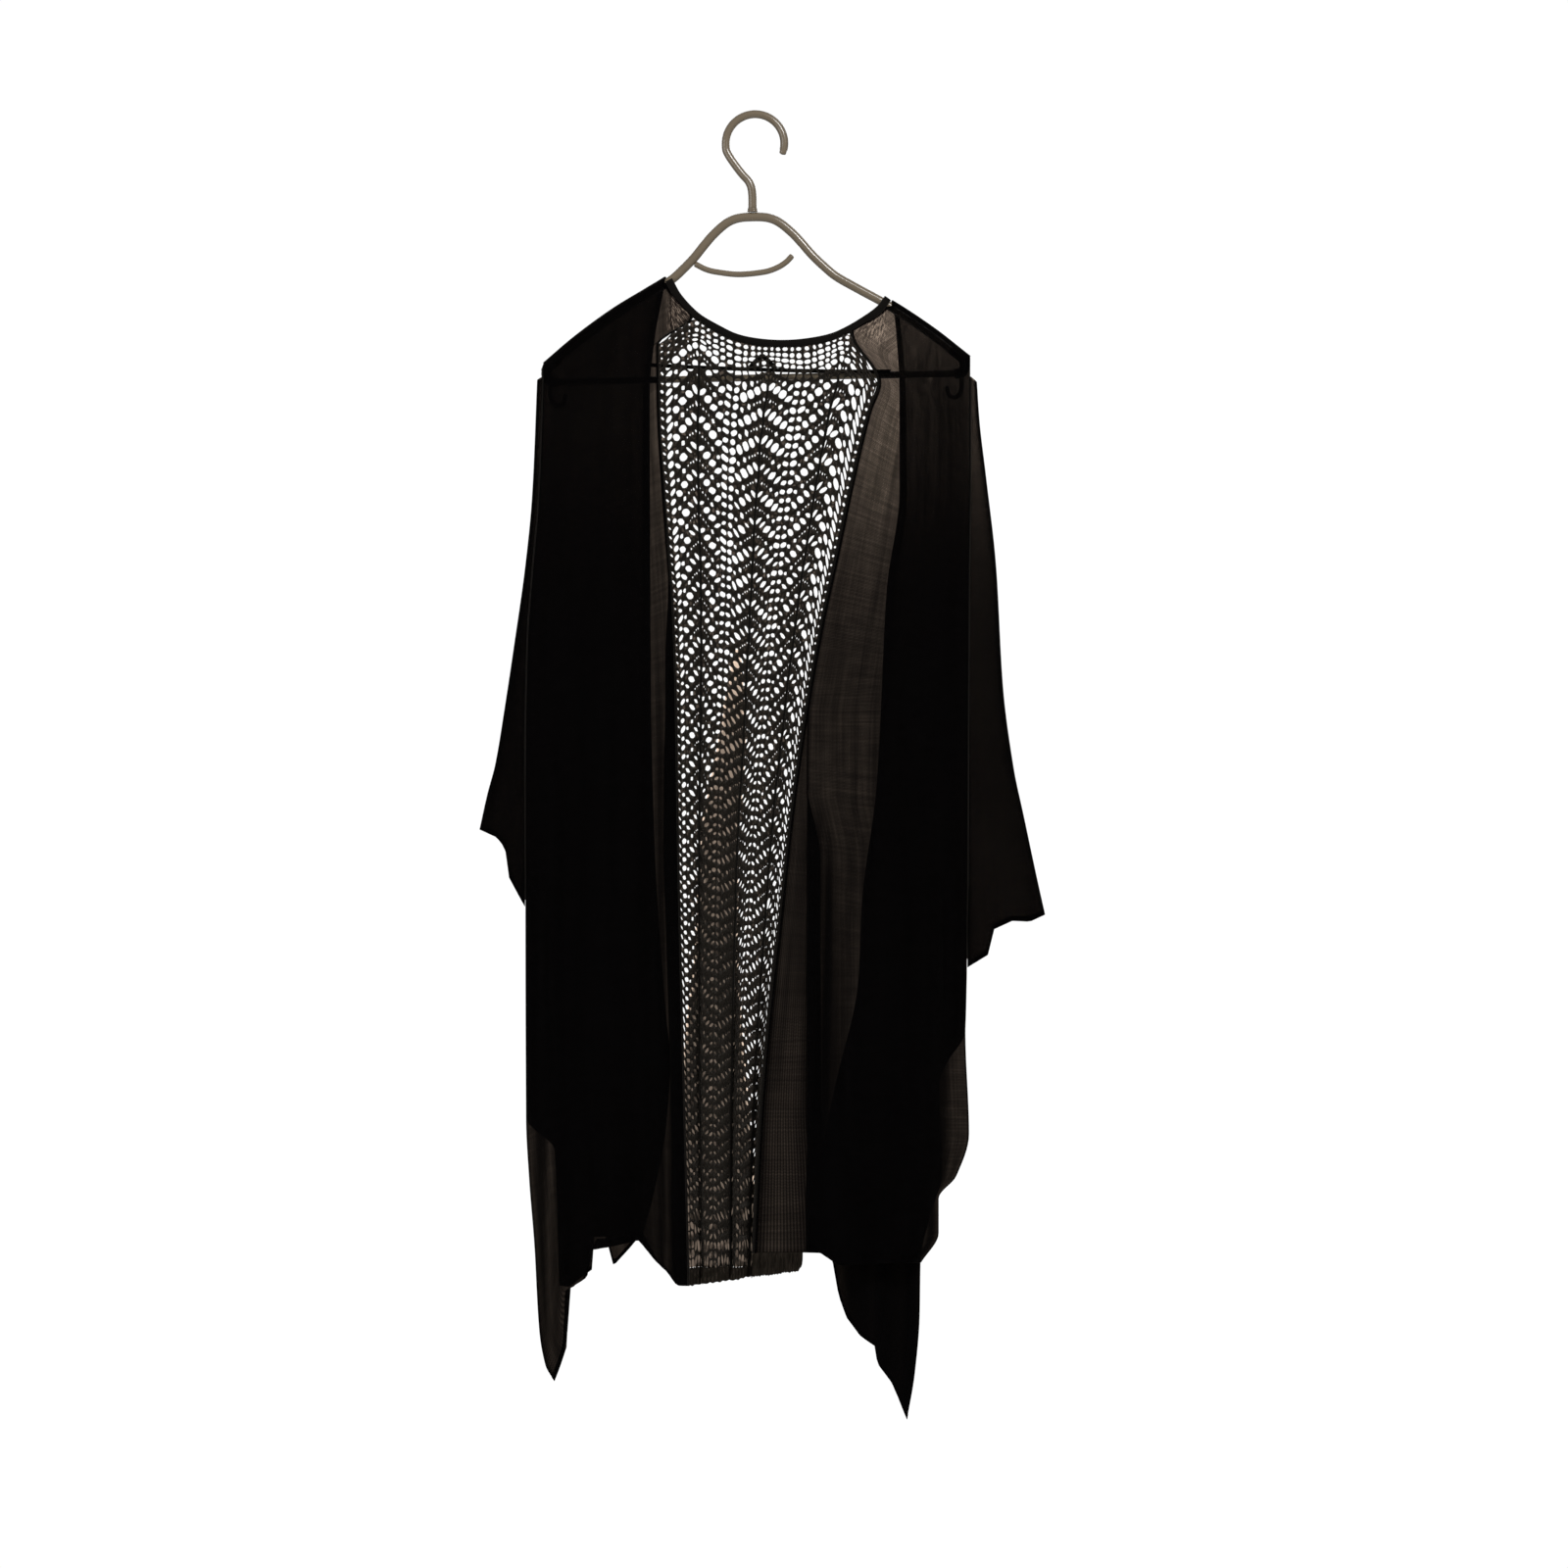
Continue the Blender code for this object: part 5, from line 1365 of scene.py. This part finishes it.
class ClothSettings(bpy.types.PropertyGroup):
    colour: FloatVectorProperty(
        name="Knit colour", description="Colour of the sheer knit", default=(0.0016, 0.0014, 0.0015), **COLOUR)
    layer_pass: FloatProperty(
        name="Light through a layer", description="Share of light that passes one layer of the knit", subtype="FACTOR",
        default=0.0105, min=0.001, max=0.9)
    thickness: FloatProperty(
        name="Cloth thickness", description="Thickness of the sheer knit",
        default=0.0005, min=0.0001, max=0.0012, **LENGTH)
    crease: FloatProperty(
        name="Crease depth", description="Depth of the small creases that run down the cloth",
        default=0.0022, min=0.0, max=0.004, **LENGTH)
    hem: FloatProperty(
        name="Hem width", description="Width of the turned hems", default=0.0050, min=0.001, max=0.02, **LENGTH)
    front_band: FloatProperty(
        name="Front band width", description="Width of the turned band along the open fronts",
        default=0.0075, min=0.001, max=0.03, **LENGTH)


class LaceSettings(bpy.types.PropertyGroup):
    colour: FloatVectorProperty(
        name="Lace colour", description="Colour of the lace's yarn", default=(0.0120, 0.0098, 0.0074), **COLOUR)
    strand: FloatProperty(
        name="Strand thickness", description="Thickness of the lace where strands cross",
        default=0.0011, min=0.0003, max=0.0020, **LENGTH)
    rise: FloatProperty(
        name="Chevron rise", description="How much higher a leaf's spine is than its foot",
        default=0.0225, min=0.0, max=0.04, **LENGTH)
    jitter: FloatProperty(
        name="Irregularity", description="How far the stitches stray from their chart",
        default=0.0011, min=0.0, max=0.003, **LENGTH)


class HangerSettings(bpy.types.PropertyGroup):
    colour: FloatVectorProperty(
        name="Plastic colour", description="Colour of the hanger", default=(0.150, 0.117, 0.078), **COLOUR)
    seam: FloatProperty(
        name="Mould line", description="Radius of the mould's parting line along the tubes",
        default=0.00022, min=0.0, max=0.001, **LENGTH)


class StageSettings(bpy.types.PropertyGroup):
    floor_colour: FloatVectorProperty(
        name="Floor colour", description="Colour of the pale floor", default=(0.86, 0.86, 0.86), **COLOUR)
    backlight: FloatProperty(
        name="Background", description="Brightness of the white background", default=1.02, min=0.0, max=5.0)
    through_colour: FloatVectorProperty(
        name="Background through cloth", description="Colour of the background where it is seen through sheer cloth",
        default=(1.0, 0.77, 0.60), **COLOUR)
    glow: FloatProperty(
        name="Ambient light", description="Brightness of the soft light from all round", default=0.36, min=0.0, max=5.0)
    key: FloatProperty(
        name="Key light", description="Power of the soft key light", subtype="POWER", unit="POWER", default=44.0,
        min=0.0, max=1000.0)
    distance: FloatProperty(
        name="Camera distance", description="Distance of the camera", default=4.0, min=1.0, max=20.0, **LENGTH)


def settings():
    """The settings of the cloth, of the lace and of the hanger."""
    return bpy.context.scene.cardigan_cloth, bpy.context.scene.cardigan_lace, bpy.context.scene.cardigan_hanger


def knit_material(where):
    """The sheer knit; the fronts and the stretched sleeves let a little more light through."""
    cloth = settings()[0]
    share = {"back": 0.90, "front": 1.7, "sleeve left": 3.0, "sleeve right": 4.8}[where]
    return material_for(
        f"sheer black knit {where}", sheer_knit, tuple(cloth.colour), cloth.layer_pass * share, 0.55, 0.35)


def hem_material():
    """The knit of the turned edges."""
    cloth = settings()[0]
    return material_for("turned hem knit", sheer_knit, tuple(cloth.colour), cloth.layer_pass * 2.0, 0.4, 0.3)


def trim_material():
    """The close rib of bindings, tapes and seams."""
    lace = settings()[1]
    return material_for("black rib trim", yarn, tuple(shades(lace.colour, 0.30)), 0.0015, 0.0011)


def seam_line(name, path, radius):
    """A raised seam along a path."""
    return piece(name, swept(name, path, radius, radius * 0.8, 8), trim_material())


def cloth_piece(name, grid, surface, thickness, replaced=()):
    """A thin piece of cloth over a grid of points."""
    return thicken(piece(name, grid_mesh(name, grid), surface, replaced), thickness)


def body_panel(name, columns, bands):
    """A sheer body panel with its turned edges. Gives its grid without laid folds."""
    cloth = settings()[0]
    sign = LAYERS[name].sign
    plain = layer_grid(name, columns, cloth.crease)
    tucks = {"back_left": TUCKS_BACK_LEFT, "back_right": TUCKS_BACK_RIGHT}.get(name)
    grid = tucked(plain, sign, tucks) if tucks else plain
    made = cloth_piece(
        f"{name}_cloth", grid, knit_material(name.split("_")[0]), cloth.thickness, replaced=(f"{name}_panel",))
    add_gathers(made.data, GATHERS.get(name, ()))
    if sign < 0:
        shift, radius = (SEAM / 2, 0.0011) if name == "back_left" else (-0.0009, 0.0015)
        seam_line(f"{name}_lace_seam", grid[8:, -1] + np.array((shift, 0.0, 0.0)), radius)
    for side, width in bands:
        strip = band_from(plain, side, width, HEM_LIFT * -sign)
        cloth_piece(f"{name}_{side}_band", strip, hem_material(), cloth.thickness)
    width, length = float(lengths_along(grid, 1).max()), float(lengths_along(grid, 0).max())
    min(surface_area(grid), width * length)
    return plain


def upright(line):
    """Points of the middle plane, given as x, z."""
    return [(x, 0.0, z) for x, z in line]


def arm_line():
    """The middle line of both arms with their turned ends, as they hang."""
    return upright(rounded([tilted(x, z) for x, z in mirrored(ARM_LINE + ARM_TURN)], 5))


class CARDIGAN_OT_hanger(bpy.types.Operator):
    """Build the plastic hanger: hook, collar, arms, tie rail, bar and strap hooks"""

    bl_idname = "cardigan.hanger"
    bl_label = "Build Hanger"

    def execute(self, context):
        hanger = settings()[2]
        plastic = material_for("taupe moulded plastic", moulded_plastic, tuple(hanger.colour))
        arms, hook = arm_line(), self.hook_line()
        ends = [Vector(tilted(end, BAR_Z)) for end in (-BAR_END, BAR_END)]
        bar = [ends[0].lerp(ends[1], share / 8) for share in range(9)]
        parts = [
            ("hanger_hook", hook, HOOK_TUBE, True, (0.90, 1.08)), ("hanger_arms", arms, ARM_TUBE, True, (1.0, 1.0)),
            ("hanger_bar", upright(bar), BAR_TUBE, False, (1.0, 1.0)),
            ("tie_rail", upright(rounded(TIE_RAIL, 6)), RAIL_TUBE, True, (1.0, 1.0)),
        ]
        for side, sign in (("left", -1.0), ("right", 1.0)):
            strap = rounded([tilted(sign * x, z) for x, z in STRAP_HOOK], 6)
            parts.append((f"strap_hook_{side}", upright(strap), STRAP_TUBE, True, (1.0, 1.0)))
        for node, path, radius, round_ends, taper in parts:
            name = f"{node}_tube"
            piece(name, tube(name, path, radius, 28, round_ends, taper), plastic, (node,))
        for name, path, radius in (("hook", hook, HOOK_TUBE), ("arms", arms, ARM_TUBE)):
            self.mould_line(name, [Vector(point) for point in path[2:-2]], radius, hanger.seam, plastic)
        self.collar(plastic)
        return {"FINISHED"}

    def hook_line(self):
        """The middle line of the hook: its bend and its neck, with the joint between them smoothed."""
        bend = []
        for step in range(15):
            angle = math.radians(HOOK_TIP_DEG + (HOOK_LEAVE_DEG - 12 - HOOK_TIP_DEG) * step / 14)
            bend.append((HOOK_CENTRE_X + HOOK_BEND * math.cos(angle), HOOK_CENTRE_Z + HOOK_BEND * math.sin(angle)))
        hook = rounded(bend + list(HOOK_NECK[1:]) + [(NECK_X, HOOK_FOOT_Z + LAY)], 8)
        for _ in range(14):
            hook[1:-1] = [(a + 2 * b + c) / 4 for a, b, c in zip(hook, hook[1:], hook[2:])]
        return upright(hook)

    def mould_line(self, name, path, radius, size, plastic):
        """The thin ridge that a two-part mould leaves along both edges of a tube, sunk into it for the most part."""
        for label, side in (("outer", 1.0), ("inner", -1.0)):
            ridge = [
                point + (after - before).normalized().cross(Vector((0.0, 1.0, 0.0))) * side * (radius - size * 0.7)
                for before, point, after in zip(path, path[1:], path[2:])
            ]
            piece(f"{name}_mould_line_{label}", tube(f"{name}_{label}", ridge, size, 8, False), plastic)

    def collar(self, plastic):
        """A turned ring at the foot of the hook, with a groove under its rim."""
        low, high = ARCH_Z + ARM_TUBE + LAY, HOOK_FOOT_Z
        # Share of the radius, share of the height
        profile = (
            (0.0, 0.0), (0.80, 0.0), (0.98, 0.05), (1.0, 0.22), (0.98, 0.45), (0.88, 0.52), (0.86, 0.60),
            (0.93, 0.68), (0.95, 0.84), (0.90, 0.96), (0.82, 1.0), (0.0, 1.0),
        )
        grid = np.array([
            [(NECK_X + COLLAR_RADIUS * share * math.cos(turn), COLLAR_RADIUS * share * math.sin(turn),
              low + (high - low) * up) for turn in turns(40)]
            for share, up in profile
        ])
        piece("hanger_collar_ring", grid_mesh("collar", grid, closed=True), plastic, ("hanger_collar",))


class CARDIGAN_OT_body(bpy.types.Operator):
    """Build the sheer back and front panels with their turned edges"""

    bl_idname = "cardigan.body"
    bl_label = "Build Body Panels"

    def execute(self, context):
        cloth = settings()[0]
        hem, band, turned_in = ("hem", cloth.hem), ("inner", cloth.front_band), ("inner", TURNED_IN)
        backs = {
            "back_left": body_panel("back_left", 44, (hem, turned_in)),
            "back_right": body_panel("back_right", 52, (turned_in,)),
        }
        body_panel("front_left", 34, (hem, band))
        body_panel("front_right", 44, (hem, band))
        line = arm_line()
        for side, sign in (("left", -1.0), ("right", 1.0)):
            reach = max(point[0] * sign for point in line)
            bend = [point for point in line if point[0] * sign > reach - SHOULDER_CAP]
            piece(f"shoulder_cap_{side}", tube(f"cap_{side}", bend, ARM_TUBE + 0.0009), trim_material())
        for name, grid in backs.items():
            crest = [(x, 0.0, arm_top(x)[0] + 0.0003) for x in grid[0, :, 0]]
            seam_line(f"{name}_shoulder_seam", crest, 0.0010)
        return {"FINISHED"}


class CARDIGAN_OT_sleeves(bpy.types.Operator):
    """Build the two sleeves with their cuffs and armhole seams"""

    bl_idname = "cardigan.sleeves"
    bl_label = "Build Sleeves"

    def execute(self, context):
        cloth = settings()[0]
        for side, rows, armhole, outline, cuff, opening in (
            ("left", ROWS_SLEEVE_LEFT, ARMHOLE_LEFT, SLEEVE_LEFT, CUFF_LEFT, OPEN_LEFT),
            ("right", ROWS_SLEEVE_RIGHT, ARMHOLE_RIGHT, SLEEVE_RIGHT, CUFF_RIGHT, OPEN_RIGHT),
        ):
            hole, opening_line = Line(armhole), Line(opening)
            grid = sleeve_grid(
                rows, hole, Line(outline), Line(cuff, soft=False), opening_line, 18, 12, cloth.crease * 0.5)
            made = cloth_piece(
                f"sleeve_{side}_cloth", grid, knit_material(f"sleeve {side}"), cloth.thickness,
                replaced=(f"sleeve_{side}",))
            strip = band_from(grid, "hem", cloth.hem, HEM_LIFT)
            band = cloth_piece(f"sleeve_{side}_cuff", strip, hem_material(), cloth.thickness)
            area, length = surface_area(grid), float(lengths_along(grid, 0).max())
            # The slanting courses of a cuff can be too long for the sleeve's area
            for face, sign in (("back", -1.0), ("front", 1.0)):
                heights = np.linspace(rows[0][0], rows[-1][0], 90)
                path = [(hole(z), sign * (opening_line(z) + 0.0002), z) for z in heights]
                seam_line(f"armhole_{side}_{face}_seam", path, 0.0007)
        return {"FINISHED"}


class CARDIGAN_OT_lace(bpy.types.Operator):
    """Build the pointelle lace of the centre back, stitch by stitch, and its gathered hem band"""

    bl_idname = "cardigan.lace"
    bl_label = "Build Lace"

    def execute(self, context):
        lace = settings()[1]
        web = LaceWeb(lace.strand, lace.rise, lace.jitter)
        web.build()
        mesh = mesh_of("lace", web.points, web.faces, web.uvs)
        surface = material_for("black lace yarn", yarn, tuple(lace.colour), 0.0012, 0.0009, True)
        made = piece("lace_back_web", mesh, surface, ("lace_back_panel",))
        for number, spine in enumerate(web.spines, 1):
            border = min(range(len(web.shares)), key=lambda at: abs(web.shares[at] - spine))
            path = [LACE(*web.chart(border, up), 0.0003) for up in np.arange(0.0, web.rows - SPINE_END, 0.25)]
            seam_line(f"lace_spine_{number}", path, 0.0013)
        self.backing()
        self.band(lace)
        return {"FINISHED"}

    def backing(self):
        """The layer that stands for the folds behind the lace's lower half."""
        cloth = settings()[0]
        heights = np.linspace(FOLDS_TOP, LACE_FOOT_Z + 0.001, 120)
        shares = np.linspace(0.004, 0.996, 111)
        grid = np.array([[LACE(share, z, -0.0013) for share in shares] for z in heights])
        held = []
        for x, _, z in grid.reshape(-1, 3):
            inside = smooth((x - BACKED_FROM(z)) / 0.003 + 0.5) * smooth((BACKED_TO(z) - x) / 0.003 + 0.5)
            held.append(BACKED(z) * inside)
        # Faces that would hold back no light are left out, because the background behind any face is tinted
        mesh = grid_mesh("lace backing", grid, kept=lambda corners: max(held[corner] for corner in corners) > 0.08)
        mesh.attributes.new("held back", "FLOAT", "POINT").data.foreach_set("value", held)
        surface = material_for("sheer folds behind lace", backing_net, tuple(cloth.colour))
        made = piece("lace_back_folds", mesh, surface)
        area = sum(polygon.area for polygon in mesh.polygons)
        area / FOLDS_LENGTH * FOLDS_GATHER

    def band(self, lace):
        """The ribbed band that gathers the lace's foot and the inner part of the right side panel."""
        foot = Line(BAND_FOOT, soft=False)
        top_left, top_right = LACE_FOOT_Z - SEAM, BAND_TOP_RIGHT - SEAM
        grid = []
        for row in range(BAND_ROWS + 1):
            down = row / BAND_ROWS
            line = []
            for step in range(BAND_COLUMNS + 1):
                share = 2.0 * step / BAND_COLUMNS
                top = top_left + (top_right - top_left) * smooth((share - 0.99) / 0.03) + 0.0014
                hem = foot(share) + 0.0014 * wander(share * 7.0, 0.0, 1.0)
                hem += 0.006 * max(0.0, (share - 1.86) / 0.14) ** 2
                z = top + (hem - top) * down
                if share <= 1.0:
                    x, y, _ = LACE(share, z, 0.0006)
                else:
                    x, y, _ = LACE(1.0, z)
                    x += (share - 1.0) * BAND_REACH
                    y += (layer_y("back_right", x, z, 0.0) - y) * (1.0 - BAND_LACE_DEPTH)
                wave = math.sin(2 * math.pi * (step / RIB_COLUMNS + 0.5 * wander(share * 11.0, down, 0.0)))
                rib = RIB_RELIEF * wave * math.sin(math.pi * min(1.0, down * 1.1))
                line.append((x, y - rib, z + RIB_RELIEF * wave * down))
            grid.append(line)
        grid = np.array(grid)
        surface = material_for("black gathered rib", gathered_rib, tuple(lace.colour))
        made = cloth_piece("hem_band_rib", grid, surface, 0.0008, replaced=("hem_band",))
        min(surface_area(grid), 0.0034)


class CARDIGAN_OT_trim(bpy.types.Operator):
    """Build the neck binding, and the hanging tape with its loop"""

    bl_idname = "cardigan.trim"
    bl_label = "Build Binding and Tape"

    def execute(self, context):
        points = []
        for point in rounded(NECKLINE, 8):
            x, z = point.x, point.y
            layer = LAYERS["back_left" if x < 0 else "back_right"]
            depth = layer_depth(x, z, layer.side(z), layer.opening(z), DRAPE_DEPTH)
            points.append((x, -max(depth, ARM_TUBE + BINDING + LAY + WALL / 2), z))
        piece("neck_binding_rib", swept("neck_binding", points, 0.0036, 0.0015, 14), trim_material(),
              ("neck_binding",))
        self.tape()
        return {"FINISHED"}

    def tape(self):
        """A narrow tape behind the lace, bowed clear of the bar, with a small loop standing on it."""
        grid = np.array([
            [(TAPE_LEFT + (TAPE_RIGHT - TAPE_LEFT) * share,
              -TAPE_END_DEPTH + TAPE_BOW * (1.0 - (2.0 * share - 1.0) ** 4),
              TAPE_TOP - TAPE_DROP * math.sin(math.pi * share * 0.5) - TAPE_HEIGHT * level)
             for share in (step / 60 for step in range(61))]
            for level in np.linspace(0.0, 1.0, 5)
        ])
        made = cloth_piece("back_tape_strip", grid, trim_material(), 0.0009, ("back_tape",))
        x, y, z = grid[0, 28]
        loop = [
            (x + LOOP_WIDTH * (share - 0.5), y - 0.0002,
             z - 0.0010 + LOOP_HEIGHT * (1.0 - abs(share - 0.5) * 2.0) ** 0.8)
            for share in np.linspace(0.0, 1.0, 25)
        ]
        ring = piece("back_tape_loop", swept("loop", loop, 0.0023, 0.0007, 8), trim_material())
        max(0.31 * TAPE_FLAT[0] * TAPE_FLAT[1], surface_area(grid))


class CARDIGAN_OT_stage(bpy.types.Operator):
    """Build the floor, the white background, the soft lights and the camera"""

    bl_idname = "cardigan.stage"
    bl_label = "Build Stage"

    def execute(self, context):
        stage = context.scene.cardigan_stage
        self.floor(stage)
        self.background(stage)
        middle = Vector((0.028, 0.0, -0.632))  # of the view
        for name, offset, size, power in (
            ("key", (1.1, -1.9, 1.7), 0.7, stage.key), ("fill", (-1.9, -1.5, 0.4), 1.6, stage.key * 0.45),
            ("front", (0.3, 2.4, 1.2), 2.0, stage.key * 0.8),
        ):
            data = bpy.data.lights.new(name, "AREA")
            data.energy = power
            data.size = size
            light = bpy.data.objects.new(name, data)
            light.location = middle + Vector(offset)
            light.rotation_euler = (middle - light.location).to_track_quat("-Z", "Y").to_euler()
            context.scene.collection.objects.link(light)
        data = bpy.data.cameras.new("camera")
        data.sensor_width = 36.0
        data.lens = data.sensor_width * stage.distance / VIEW_WIDTH
        camera = bpy.data.objects.new("camera", data)
        camera.location = middle - Vector((0.0, stage.distance, 0.0))
        camera.rotation_euler = (math.pi / 2, 0.0, 0.0)
        context.scene.collection.objects.link(camera)
        context.scene.camera = camera
        context.scene.view_settings.view_transform = "Standard"
        return {"FINISHED"}

    def floor(self, stage):
        """A pale round floor under the garment, below the camera's view."""
        points = [
            (FLOOR_RADIUS * math.cos(turn), FLOOR_RADIUS * math.sin(turn), FLOOR_Z) for turn in turns(96)
        ]
        made = bpy.data.objects.new("floor", mesh_of("floor", points, [tuple(range(len(points)))]))
        material, tree, shader = principled("pale floor")
        pale = tuple(stage.floor_colour)
        cloud = clouds(Value(new_node(tree, "TexCoord"), "Object"), 5.0)
        fill(shader, {"Base Color": colour_over(cloud, shades(pale, 0.97), pale), "Roughness": 0.8})
        made.data.materials.append(material)
        bpy.context.scene.collection.objects.link(made)

    def background(self, stage):
        """White seen by the camera, and a softer studio glow for what it lights."""
        world = bpy.data.worlds.new("studio")
        world.use_nodes = True
        tree = world.node_tree
        tree.nodes.clear()
        rays = new_node(tree, "LightPath")
        through = Value(rays, "Transparent Depth").run("MINIMUM", 1.0)
        tinted = colour_over(through, (1.0, 1.0, 1.0), stage.through_colour)
        glow = new_node(tree, "Background", {"Color": (1.0, 0.99, 0.97, 1.0), "Strength": stage.glow})
        seen = new_node(tree, "Background", {"Color": tinted, "Strength": stage.backlight})
        mixed = new_node(tree, "MixShader", {0: Value(rays, "Is Camera Ray"), 1: Value(glow), 2: Value(seen)})
        new_node(tree, "OutputWorld", {"Surface": Value(mixed)})
        bpy.context.scene.world = world


class CARDIGAN_PT_panel(bpy.types.Panel):
    """Sizes, colours and build steps of the cardigan"""

    bl_idname = "CARDIGAN_PT_panel"
    bl_label = "Kimono Cardigan"
    bl_space_type = "VIEW_3D"
    bl_region_type = "UI"
    bl_category = "Cardigan"

    def draw(self, context):
        for title, operators in SECTIONS:
            box = self.layout.box()
            group = getattr(context.scene, title)
            for name in group.bl_rna.properties.keys():
                if name not in ("rna_type", "name"):
                    box.prop(group, name)
            for operator in operators:
                box.operator(operator.bl_idname)


GROUPS = (
    ("cardigan_hanger", HangerSettings), ("cardigan_cloth", ClothSettings), ("cardigan_lace", LaceSettings),
    ("cardigan_stage", StageSettings),
)
SECTIONS = (
    ("cardigan_hanger", (CARDIGAN_OT_hanger,)),
    ("cardigan_cloth", (CARDIGAN_OT_body, CARDIGAN_OT_sleeves, CARDIGAN_OT_trim)),
    ("cardigan_lace", (CARDIGAN_OT_lace,)),
    ("cardigan_stage", (CARDIGAN_OT_stage,)),
)
CLASSES = tuple(group for _, group in GROUPS) + (
    CARDIGAN_OT_hanger, CARDIGAN_OT_body, CARDIGAN_OT_sleeves, CARDIGAN_OT_trim, CARDIGAN_OT_lace, CARDIGAN_OT_stage,
    CARDIGAN_PT_panel,
)


def register():
    for item in CLASSES:
        bpy.utils.register_class(item)
    for name, group in GROUPS:
        setattr(bpy.types.Scene, name, PointerProperty(type=group))


def unregister():
    for name, _ in GROUPS:
        delattr(bpy.types.Scene, name)
    for item in reversed(CLASSES):
        bpy.utils.unregister_class(item)


def main():
    register()
    bpy.ops.cardigan.hanger()
    bpy.ops.cardigan.body()
    bpy.ops.cardigan.sleeves()
    bpy.ops.cardigan.trim()
    bpy.ops.cardigan.lace()
    bpy.ops.cardigan.stage()
    bpy.context.view_layer.update()


if __name__ == "__main__":
    main()
